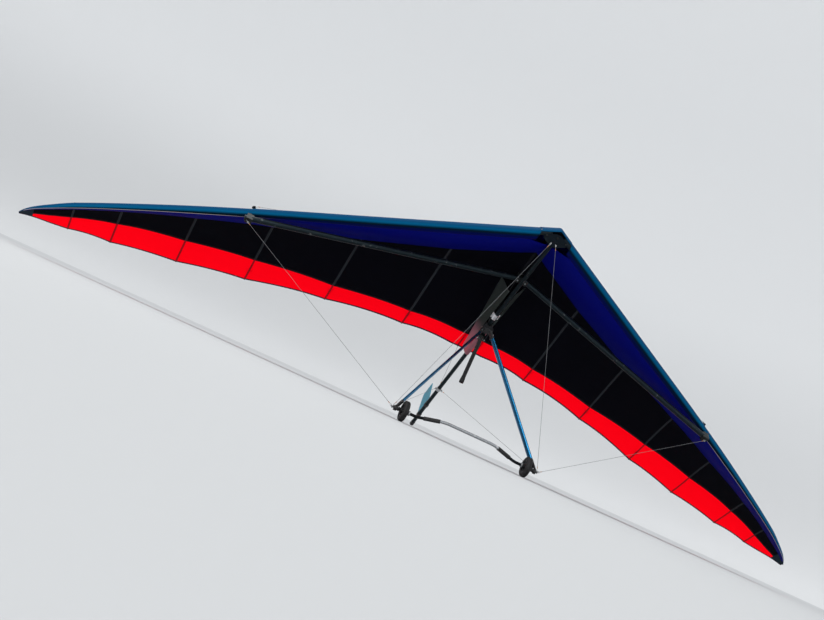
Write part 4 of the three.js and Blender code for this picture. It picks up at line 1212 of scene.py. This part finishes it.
# %% Fin
FIN = {"front": 2.850, "rear": 3.140, "height": 0.285, "thick": 0.007}
CLAMPS = (FIN["front"] + 0.050, FIN["rear"] - 0.060)
f, r, h = FIN["front"], FIN["rear"], FIN["height"]
blade = [(f, 0.022), (r, 0.022), (r - 0.020, 0.120), (r - 0.076, h - 0.020), (r - 0.086, h - 0.006)]
blade += [(r - 0.100, h), (f - 0.008, h), (f - 0.017, h - 0.004), (f - 0.020, h - 0.012)]
skin = slab(blade, (-FIN["thick"] / 2, 0, 0), AFT, UP, FIN["thick"])
piece("tail_fin_skin", [skin], FIN_CLOTH, "tail_fin", bevel=0.0028)
clamp = both_ends([(-0.018, 0.0215), (-0.018, 0.0255), (-0.015, 0.0265)])
cheek = np.array([(-0.014, 0.018), (0.014, 0.018), (0.010, 0.058), (-0.010, 0.058)])
clamps = [hoop(clamp, (0, y, 0), AFT) for y in CLAMPS]
clamps += [slab(cheek, (x, y, 0), AFT, UP, 0.003) for y in CLAMPS for x in (-0.0066, 0.0036)]
piece("tail_fin_clamps", clamps, PLASTIC, "tail_fin", bevel=0.0008)
print("the fin's clamps are at y =", CLAMPS)

# %% Luff lines
KINGPOST_Y, KINGPOST_TOP = 1.400, 1.180
LUFF_X = BATTENS[1:4]
LUFF_BACK = 0.115  # from the trailing edge to a luff line's foot
top = np.array([0.012, KINGPOST_Y, KINGPOST_TOP + 0.036])
lines, patches = [], []
for x in LUFF_X:
    foot = upper(np.full(1, x), ahead_of_rear(np.full(1, x), LUFF_BACK))[0] + [0, 0, 0.004]
    lines.append(tube(np.linspace(top, foot, 3), 0.0011, 6))
    share = np.linspace(0, 1, 8)
    at = x + np.linspace(-1, 1, 5)[:, None] * (0.038 - 0.034 * share)
    back = LUFF_BACK + 0.055 - 0.075 * share
    patches.append(sewn(upper(at, ahead_of_rear(at, back), SAG), 0.0024, 0.0004))
for name, side in SIDES:
    piece(f"luff_lines_{name}", on_side(side, lines), CORD)
    piece(f"luff_patches_{name}", on_side(side, patches), PATCH_CLOTH, sharp=60)
print("luff lines meet the sail at x =", LUFF_X.tolist())

# %% [markdown]
# ## Fittings
#
# What holds a glider together is small: bolts with lock nuts, plates, saddles and eyes. The CAD
# solids of these are plain blocks with a ball at each eye. Each is rebuilt here in its place from
# a few turned and flat shapes in one object, and a Bevel modifier breaks their edges, because a
# machined edge always shows a thin line of light.

# %% Blocks and bolts


def box(x0, x1, y0, y1, z0, z1):
    """A block between six planes."""
    return slab([(x0, y0), (x1, y0), (x1, y1), (x0, y1)], (0, 0, z0), OUT, AFT, z1 - z0)


def block(centre, half):
    """A block of three half sizes about its centre."""
    return box(*np.column_stack([np.subtract(centre, half), np.add(centre, half)]).ravel())


def bolt(centre, axis, half, size=0.004):
    """A shank of radius size, with a washer and a hexagon half away from the centre at each end."""
    parts = [turned([(-half - 2.6 * size, size), (half + 1.6 * size, size)], centre, axis, 12)]
    for s in (1, -1):
        seat, end = half + 0.0012, half + (1.3 if s > 0 else 2.0) * size
        washer = [(s * half, 2.2 * size), (s * seat, 2.2 * size)]
        nut = [(s * seat, 1.8 * size), (s * end, 1.8 * size), (s * (end + 0.0008), 1.5 * size)]
        parts += [turned(washer, centre, axis, 20), turned(nut, centre, axis, 6)]
    return parts


def fitting(name, shapes, finish, node=None, bevel=0.001):
    """A piece on the glider with broken edges."""
    piece(name, shapes, finish, node, bevel=bevel)


def streamline(a, b, width, depth):
    """A teardrop section from a to b: half widths sin t, narrowed behind, and -cos t along the wind."""
    t = np.arange(28) / 28 * 2 * np.pi
    aft = -np.cos(t)
    outline = np.column_stack([width / 2 * np.sin(t) * (1 - 0.35 * np.maximum(aft, 0)), depth / 2 * aft])
    along = unit(b - a)
    across = unit(np.cross(along, AFT))
    back = np.cross(across, along)
    back *= np.sign(back[1])
    return capped(np.stack([p + outline[:, :1] * across + outline[:, 1:] * back for p in (a, b)]))


print("a bolt has", sum(len(faces) for _, faces in bolt((0, 0, 0), UP, 0.01)), "faces")

# %% Eyes for the stays
APEX = np.array([0.038, 1.490, -0.066])  # where a downtube's axis enters the apex
DOWN = unit(CORNER - APEX)
TAIL_Y = 2.600  # the rear stays meet the keel here
EYE_RISE = KEEL_RADIUS + 0.013
SPAR = np.array([CROSSBAR_X, float(rib(1, CROSSBAR_X)), -0.078])  # the crossbar's outer end
over_cloth = float(upper(np.array(CROSSBAR_X), np.array(0.2))[2])
EYES = {
    "corner": CORNER + [0.034, 0, -0.006],
    "nose": np.array([0.024, 0.170, -0.037]),
    "top": np.array([0, 0.150, 0.037]),
    "tail": np.array([EYE_RISE, TAIL_Y, -0.004]),
    "tail_top": np.array([0, TAIL_Y, EYE_RISE]),
    "post": np.array([0.026, KINGPOST_Y, KINGPOST_TOP + 0.014]),
    "post_front": np.array([0, KINGPOST_Y - 0.026, KINGPOST_TOP + 0.014]),
    "post_rear": np.array([0, KINGPOST_Y + 0.026, KINGPOST_TOP + 0.014]),
    "spar": SPAR + [0.016, 0, -0.043],
    "spar_top": np.array([SPAR[0], SPAR[1], over_cloth + 0.026]),
}
print("wire eyes:", sorted(EYES))

# %% Nose plates and the crossbar's hinge
NOSE = [(-0.020, 0.062), (0.020, 0.062), (0.126, 0.118), (0.120, 0.160), (0.030, 0.215)]
NOSE += [(-0.030, 0.215), (-0.120, 0.160), (-0.126, 0.118)]
PLATE_Z, PLATE_THICK = 0.0266, 0.004
lower_plate = [slab(NOSE, (0, 0, -PLATE_Z - PLATE_THICK), OUT, AFT, PLATE_THICK)]
lower_plate += both([box(0.019, 0.029, 0.160, 0.180, -0.040, -PLATE_Z - 0.002)])
upper_plate = [slab(NOSE, (0, 0, PLATE_Z), OUT, AFT, PLATE_THICK)]
upper_plate += [box(-0.005, 0.005, 0.138, 0.162, 0.029, 0.040)]
side_bolt = (0.105, float(rib(1, 0.105)), 0)
nose_bolts = bolt((0, 0.098, 0), UP, 0.0308, 0.005) + both(bolt(side_bolt, UP, 0.0308, 0.005))
fitting("nose_plate_low", lower_plate, BLACK_PLATE, "nose_plate_lower")
fitting("nose_plate_high", upper_plate, BLACK_PLATE, "nose_plate_upper")
fitting("nose_bolts", nose_bolts, DARK_STEEL, "nose_plate_lower")

hinge = [box(-0.060, 0.060, 0.766, 0.834, z, z + 0.0032) for z in (0.0216, 0.0950)]
hinge += [box(-0.008, 0.008, 0.760, 0.840, 0.0216, 0.0982)]
fitting("crossbar_hinge", hinge, DARK_STEEL, "crossbar_centre_bracket")
hinge_bolts = both(bolt((0.042, CROSSBAR_Y, 0.0599), UP, 0.0384))
fitting("crossbar_hinge_bolts", hinge_bolts, STEEL, "crossbar_centre_bracket")
print("corners of a nose plate:", len(NOSE))

# %% Crossbar's ends
inner = np.array([0.022, CROSSBAR_Y, 0.060])
run = unit(SPAR - inner)
plug = [(-0.002, 0.0293), (0.0015, 0.0293), (0.0030, 0.026)]
plugs = [turned(plug, at, way, 32) for at, way in ((SPAR + run * 0.045, run), (inner, -run))]
fitting("crossbar_plugs", both(plugs), PLASTIC)

x, y, z = SPAR
spacer = [(0, 0.014), (0.012, 0.012), (float(rib(2, CROSSBAR_X)) - 0.0266 - z - 0.033, 0.014)]
turnings = [  # profile, height and number of sides: bolt, spacer, washer, nut and bolt head
    ([(0, 0.006), (over_cloth - z + 0.060, 0.006)], z - 0.040, 16),
    (spacer, z + 0.033, 24),
    ([(0, 0.020), (0.0015, 0.020), (0.004, 0.010)], over_cloth + 0.002, 24),
    ([(0, 0.0105), (0.009, 0.0105), (0.010, 0.009)], over_cloth + 0.006, 6),
    ([(0, 0.0105), (-0.008, 0.0105)], z - 0.036, 6),
]
joint = [turned(profile, (x, y, height), UP, sides) for profile, height, sides in turnings]
joint += [block((x, y, z + s * 0.0340), (0.034, 0.024, 0.002)) for s in (1, -1)]
joint += [block((x, y + s * 0.0315, z), (0.034, 0.0015, 0.036)) for s in (1, -1)]
joint += [block((x + 0.013, y, z - 0.043), (0.009, 0.002, 0.009))]
for name, side in SIDES:
    fitting(f"crossbar_end_{name}", on_side(side, joint), DARK_STEEL, f"crossbar_joint_{name}")
print("shapes in a joint:", len(joint))

# %% Control frame's fittings
bore = KEEL_RADIUS + 0.0003
half_turn = np.linspace(np.pi, 2 * np.pi, 17)
under_keel = bore * np.column_stack([np.cos(half_turn), np.sin(half_turn)])
SLEEVE = (0.0325, 0.0665)  # width and depth of the plastic sleeves on the downtubes


def saddle(half_top, up, low, rear, length):
    """A block that hugs the keel's lower half, from rear forward; low lists its outer corners."""
    outline = [(-half_top, up), (-bore, up), *under_keel, (bore, up), (half_top, up), *low]
    return slab(outline, (0, rear, 0), OUT, UP, length)


apex_low = both_ends([(0.058, -0.052), (0.055, -0.074)])
apex = [saddle(0.030, 0.016, apex_low, 1.526, 0.072)]
apex += both([streamline(APEX, APEX + DOWN * 0.0337, 0.030, 0.064)])
fitting("apex_saddle", apex, PLASTIC, "apex_bracket", bevel=0.003)
apex_bolts = bolt((0, 1.490, -0.045), OUT, 0.0555) + both(bolt(APEX + DOWN * 0.060, AFT, 0.0325, 0.003))
fitting("apex_bolts", apex_bolts, STEEL)
collar = streamline(APEX + DOWN * 0.0345, APEX + DOWN * 0.090, *SLEEVE)
foot_collar = streamline(CORNER - DOWN * 0.110, CORNER - DOWN * 0.0495, *SLEEVE)
fitting("downtube_sleeves", both([collar, foot_collar]), PLASTIC, bevel=0.0015)

x, y, z = CORNER
barrel = [(-0.040, 0.0195), (-0.037, 0.021), (0.006, 0.021), (0.010, 0.018), (0.012, 0.012)]
knuckle = [streamline(CORNER - DOWN * 0.0497, CORNER, 0.032, 0.066), turned(barrel, CORNER, OUT, 32)]
knuckle += [block((x + 0.003, y, z - 0.007), (0.015, 0.016, 0.019))]
knuckle += [block((x + 0.023, y, z - 0.006), (0.013, 0.005, 0.006))]
pins = bolt(CORNER + [-0.022, 0, 0], AFT, 0.0215, 0.003)
pins += bolt(CORNER - DOWN * 0.075, AFT, 0.0335, 0.003)
pins += bolt(EYES["corner"], AFT, 0.008, 0.0035)
for name, side in SIDES:
    shapes = on_side(side, knuckle)
    fitting(f"corner_knuckle_{name}", shapes, PLASTIC, f"corner_bracket_{name}", bevel=0.002)
    fitting(f"corner_pins_{name}", on_side(side, pins), STEEL)
print("faces in a corner's pins:", sum(len(faces) for _, faces in pins))

# %% Kingpost's and keel's fittings
shoe = [box(-0.026, 0.026, 1.370, 1.430, bore, 0.0337)]
shoe += both([box(bore, 0.026, 1.378, 1.422, -0.014, 0.026)])
socket = [(0, 0.0185), (0.003, 0.0195), (0.040, 0.0180), (0.044, 0.0160)]
shoe += [turned(socket, (0, KINGPOST_Y, 0.034), UP, 32)]
fitting("kingpost_step", shoe, PLASTIC, "kingpost_shoe", bevel=0.0015)
cap = [(-0.022, 0.0165), (-0.020, 0.0180), (0.004, 0.0190), (0.022, 0.0200), (0.030, 0.0180)]
cap += [(0.0345, 0.0110), (0.0360, 0.0030)]
crane = [turned(cap, (0, KINGPOST_Y, KINGPOST_TOP), UP, 32)]
arm_centre = (0, KINGPOST_Y, KINGPOST_TOP + 0.014)
crane += [block(arm_centre, half) for half in ((0.030, 0.002, 0.006), (0.002, 0.030, 0.006))]
fitting("kingpost_crane", crane, PLASTIC, "kingpost_cap")
boot_z = float(upper(np.array(0.0), ahead_of_rear(np.array(0.0), RIBS[0, 3] - KINGPOST_Y))[2])
boot = [(-0.012, 0.062), (-0.004, 0.058), (0.014, 0.030), (0.030, 0.0185), (0.046, 0.0165)]
fitting("kingpost_boot", [turned(boot, (0, KINGPOST_Y, boot_z + 0.006), (0, -0.10, 1), 40)], BLACK_TAPE)

clip = both_ends([(-0.020, bore), (-0.020, 0.0262), (-0.017, 0.0272)])
tang = [hoop(clip, (0, TAIL_Y, 0), AFT, 40), block((0, TAIL_Y, 0.033), (0.002, 0.012, 0.007))]
tang += both([block((0.03275, TAIL_Y, -0.004), (0.00725, 0.012, 0.002))])
fitting("tail_band", tang, STEEL, "rear_tang")

hang_low = both_ends([(0.034, -0.083), (0.026, -0.083), (0.026, -0.033)])
hanger = [saddle(0.034, 0.010, hang_low, 1.635, 0.030)]
fitting("hang_saddle", hanger, DARK_STEEL, "hang_bracket", bevel=0.0015)
fitting("hang_pin", bolt(pin, OUT, 0.0342, 0.006), STEEL, "hang_bracket")

ears = both_ends([(0.042, 0.006), (0.028, 0.003), (0.0250, -0.012), (0.013, -0.0255)])
fitting("haulback_keeper", [saddle(0.042, 0.010, ears, 1.362, 0.070)], POLISHED)
fitting("haulback_keeper_bolts", both(bolt((0.035, 1.327, 0.008), UP, 0.0025, 0.003)), STEEL)
print("the boot sits at z =", round(boot_z, 3))

# %% [markdown]
# ## Stays
#
# Each stay is steel cable. At both ends it turns round a thimble, a steel teardrop that keeps its
# bend open, and a pressed copper sleeve holds the loop. The thimble hangs in the hole of a tang,
# a small flat plate that points along the cable. The teardrop is a circle with two tangents that
# meet in its throat.

# %% The ends of a cable
TANG = {"back": 0.008, "front": 0.020, "half": 0.0065, "thick": 0.0022}
LOOP = {"centre": 0.0215, "throat": 0.040}
LOOP_RINGS = ((0.0075, 0.0020), (0.0100, 0.0016))  # the thimble, and the cable round it: radius, half
CABLE_RADIUS, SLEEVE_END = 0.0016, 0.060


def cable_frame(eye, toward):
    """Unit vectors along the cable, across it on the level, and square to both."""
    along = unit(toward - eye)
    across = unit(np.cross(along, UP))
    return along, across, np.cross(across, along)


def tang_plate(eye, toward):
    """A flat bar with round ends: two half circles a length apart."""
    along, across, _ = cable_frame(eye, toward)
    a = np.linspace(-np.pi / 2, np.pi / 2, 9)
    arc = np.column_stack([np.cos(a), np.sin(a)]) * TANG["half"]
    outline = np.vstack([arc + [TANG["front"] - TANG["half"], 0], -arc - [TANG["back"] - TANG["half"], 0]])
    shift = np.cross(along, across) * TANG["thick"] / 2
    return slab(outline, eye - shift, along, across, TANG["thick"])


def thimble(eye, toward, radius, thick):
    """A teardrop of round bar: the circle from one tangent point to the other, closed at the throat."""
    along, _, rise = cable_frame(eye, toward)
    reach = LOOP["throat"] - LOOP["centre"]
    first = np.arccos(radius / reach)
    a = np.linspace(first, 2 * np.pi - first, 22)
    path = np.column_stack([LOOP["centre"] + radius * np.cos(a), radius * np.sin(a)])
    path = np.vstack([[LOOP["throat"], 0.0006], path, [LOOP["throat"], -0.0006]])
    return tube(eye + path[:, :1] * along + path[:, 1:] * rise, thick, 8, np.cross(along, rise))


def sleeve(eye, toward):
    """The pressed sleeve, with three waists where the tool squeezed it."""
    share = np.linspace(0, 1, 21)
    radius = 0.0037 - 0.0006 * np.cos(share * 6 * np.pi) ** 2
    radius[[0, -1]] = 0.0026
    at = LOOP["throat"] + (SLEEVE_END - LOOP["throat"]) * share
    return turned(np.column_stack([at, radius]), eye, toward - eye, 14)


print("a thimble's round bar is", LOOP_RINGS[0][1] * 2000, "mm thick")

# %% Cables, thimbles and sleeves


def cable_finish(name, axis):
    """Twisted strands: a wave on the length and on one direction across it, so its stripes slant. The
    stripes are painted light and shade: pale on the strands' crowns, dark in the grooves between them.
    """
    made = Finish(name, (0.11, 0.12, 0.13), 0.4, 0.9)
    along = TURN @ axis
    ways = [made.measured(plain(way)) for way in (along, np.cross(along, [0.3, 0.5, 0.8]))]
    strand = (ways[0] * 1900 + ways[1] * 1700).wave() * 0.5 + 0.5
    dull = made.noise(14.0)
    # painted light and shade: pale strand crowns, dark grooves between the strands
    shade = made.blend(strand * 0.35 + dull * 0.3, (0.24, 0.25, 0.26), (0.07, 0.07, 0.075))
    return made.use(colour=shade, roughness=0.34 + dull * 0.18, height=strand, depth=0.0003)


COPPER = moulded_finish("pressed_copper", (0.42, 0.20, 0.10), 0.38, 1200.0, (0.5, 0.3, 0.2), 1.0)
STAY_ENDS = {
    "lower_front": ("corner", "nose"),
    "lower_rear": ("corner", "tail"),
    "lower_side": ("corner", "spar"),
    "upper_side": ("post", "spar_top"),
}
STAYS = [(f"{stay}_{name}", side, *ends) for stay, ends in STAY_ENDS.items() for name, side in SIDES]
STAYS += [("upper_front", 1.0, "post_front", "top"), ("upper_rear", 1.0, "post_rear", "tail_top")]
tangs, thimbles, sleeves = [], [], []
for name, side, first, last in STAYS:
    a, b = EYES[first] * [side, 1, 1], EYES[last] * [side, 1, 1]
    for eye, toward in ((a, b), (b, a)):
        tangs.append(tang_plate(eye, toward))
        thimbles += [thimble(eye, toward, *size) for size in LOOP_RINGS]
        sleeves.append(sleeve(eye, toward))
    along = unit(b - a)
    strand = tube([a + along * LOOP["throat"], b - along * LOOP["throat"]], CABLE_RADIUS, 10)
    piece(f"cable_{name}", [strand], cable_finish(f"cable_{name}", along), f"stay_{name}")
piece("stay_tangs", tangs, STEEL, bevel=0.0004)
piece("stay_thimbles", thimbles, STEEL, sharp=60)
piece("stay_sleeves", sleeves, COPPER, sharp=50)
print("stays:", len(STAYS), "sleeves:", len(sleeves))

# %% [markdown]
# ## Wheels
#
# The small training wheels are moulded: a rubber tread with grooves on a plastic hub. The tread
# is its section turned about the axle, with the grooves as notches in the section. The hub keeps
# its CAD shape, and a rim and ribs that the mould would give it are added on both faces. These
# pieces ride on the wheels, so they turn with them.

# %% Treads, rims and ribs
TREAD = {"rim": 0.0603, "groove": 0.0018, "land": 0.0065}
SPOKES = 5


def tread_section():
    """The tyre's section: grooves every 6.5 mm across the tread, then round shoulders and flat walls."""
    at = np.linspace(-0.009, 0.009, 49)
    notch = np.abs(((at / TREAD["land"] + 0.5) % 1) - 0.5) > 0.37
    top = np.column_stack([at, WHEEL_RADIUS - TREAD["groove"] * notch])
    a = np.linspace(np.pi / 2, 0, 8)
    shoulder = np.column_stack([0.0095 + 0.0155 * np.cos(a), 0.0845 + 0.0155 * np.sin(a)])
    wall = [(0.025, 0.078), (0.0235, 0.074), (0.025, 0.070), (0.0245, 0.0645), (0.0215, TREAD["rim"])]
    right = np.vstack([shoulder, wall])
    return np.vstack([top, right, (right * [-1, 1])[::-1]])


def rib_block(centre, angle):
    """A rib through the hub from the boss to the rim, 5 mm wide."""
    c, s = np.cos(angle), np.sin(angle)
    outline = [(0.023, -0.0025), (0.053, -0.0020), (0.053, 0.0020), (0.023, 0.0025)]
    return slab(outline, centre - [0.0178, 0, 0], (0, c, s), (0, -s, c), 0.0356)


rim = both_ends([(-0.021, 0.0515), (-0.023, 0.0545), (-0.0215, 0.0600)])
for name, side in SIDES:
    centre = CORNER * [0, 1, 1] + [side * WHEEL_X, 0, 0]
    tread = hoop(tread_section(), centre, OUT, 120)
    piece(f"tread_{name}", [tread], RUBBER, f"wheel_tyre_{name}", f"wheel_{name}", 40)
    angles = (np.arange(SPOKES) + 0.5) / SPOKES * 2 * np.pi
    moulding = [hoop(rim, centre, OUT, 72)] + [rib_block(centre, angle) for angle in angles]
    piece(f"hub_ribs_{name}", moulding, PLASTIC, body=f"wheel_{name}", bevel=0.0008)
    screw = turned([(-0.002, 0.003), (0.0015, 0.003)], centre - [side * 0.052, 0, -0.024], UP, 12)
    piece(f"collar_screw_{name}", [screw], DARK_STEEL)
print("points on a tread's section:", len(tread_section()))

# %% [markdown]
# ## Floor and light
#
# A flat floor would show its horizon as a slanted line, because the camera is rolled. A studio
# hides it with a sweep: a floor that curves up into a wall. Here it is one turned surface, flat
# under the glider and rising all round far behind it. Two soft lamps ahead, a wide sun from behind
# and a bright room light it. Less light falls on the wall than on the floor, so the paint gets
# paler with distance, and the two come out alike.

# %% Floor
PALE = (0.80, 0.81, 0.82)
SWEEP = {"flat": 42.0, "radius": 26.0, "wall": 16.0}


def sweep():
    """The floor's outline turned about the vertical: flat, a quarter circle up, then a wall."""
    made = Finish("floor_paint", PALE, 0.8, Specular_IOR_Level=0.0)
    x, y, height = made.across("place")
    reach = x * x + y * y  # the distance from the middle, squared
    near = made.blend(reach.below(300.0, 260.0), (0.44, 0.45, 0.46), (0.40, 0.41, 0.42))
    wall = made.blend(height.below(7.5, 7.5), (0.84, 0.85, 0.86), (0.62, 0.63, 0.64))
    lit = reach.below(1650.0, 750.0)
    made.use(colour=made.blend(lit, wall, near), roughness=0.75 + made.noise(3.0) * 0.1)
    a = np.linspace(0, np.pi / 2, 30)
    flat = np.column_stack([np.zeros(4), np.linspace(0.5, SWEEP["flat"], 4)])
    bend = np.column_stack([1 - np.cos(a), np.sin(a)])[1:] * SWEEP["radius"] + flat[-1]
    outline = np.vstack([flat, bend, bend[-1] + [SWEEP["wall"], 0]])
    points, faces = capped(revolved(outline, (0, 0, 0), UP, 96))
    shaped("floor", points, faces[:-1], made)


sweep()
print("the wall ends", SWEEP["radius"] + SWEEP["wall"], "m up")

# %% Light
AIM, LAMP_SIZE = (0, 0, 1.0), 6.0


def light(name, kind, place, way, **settings):
    """A light of one kind at place, shining along way."""
    data = bpy.data.lights.new(name, kind)
    for setting, value in settings.items():
        setattr(data, setting, value)
    made = bpy.data.objects.new(name, data)
    made.location = place
    made.rotation_euler = Vector(way).to_track_quat("-Z", "Y").to_euler()
    bpy.context.scene.collection.objects.link(made)


def lamp(name, place, power, colour):
    """A square soft lamp of 6 m, turned to a point 1 m above the middle of the floor."""
    way = np.subtract(AIM, place)
    light(name, "AREA", place, way, shape="SQUARE", size=LAMP_SIZE, energy=power, color=colour)


lamp("key", (-12.0, -9.0, 8.5), 1100, (1.0, 0.98, 0.95))
lamp("fill", (10.0, -8.0, 5.0), 120, (0.95, 0.97, 1.0))
light("back", "SUN", (0, 0, 0), (0.1, -1.0, -2.15), energy=1.7, angle=np.radians(25))
world = bpy.data.worlds.new("studio")
world.use_nodes = True
background = world.node_tree.nodes["Background"]
background.inputs["Color"].default_value = (*PALE, 1)
background.inputs["Strength"].default_value = 1.15
bpy.context.scene.world = world
bpy.context.scene.view_settings.view_transform = "Standard"
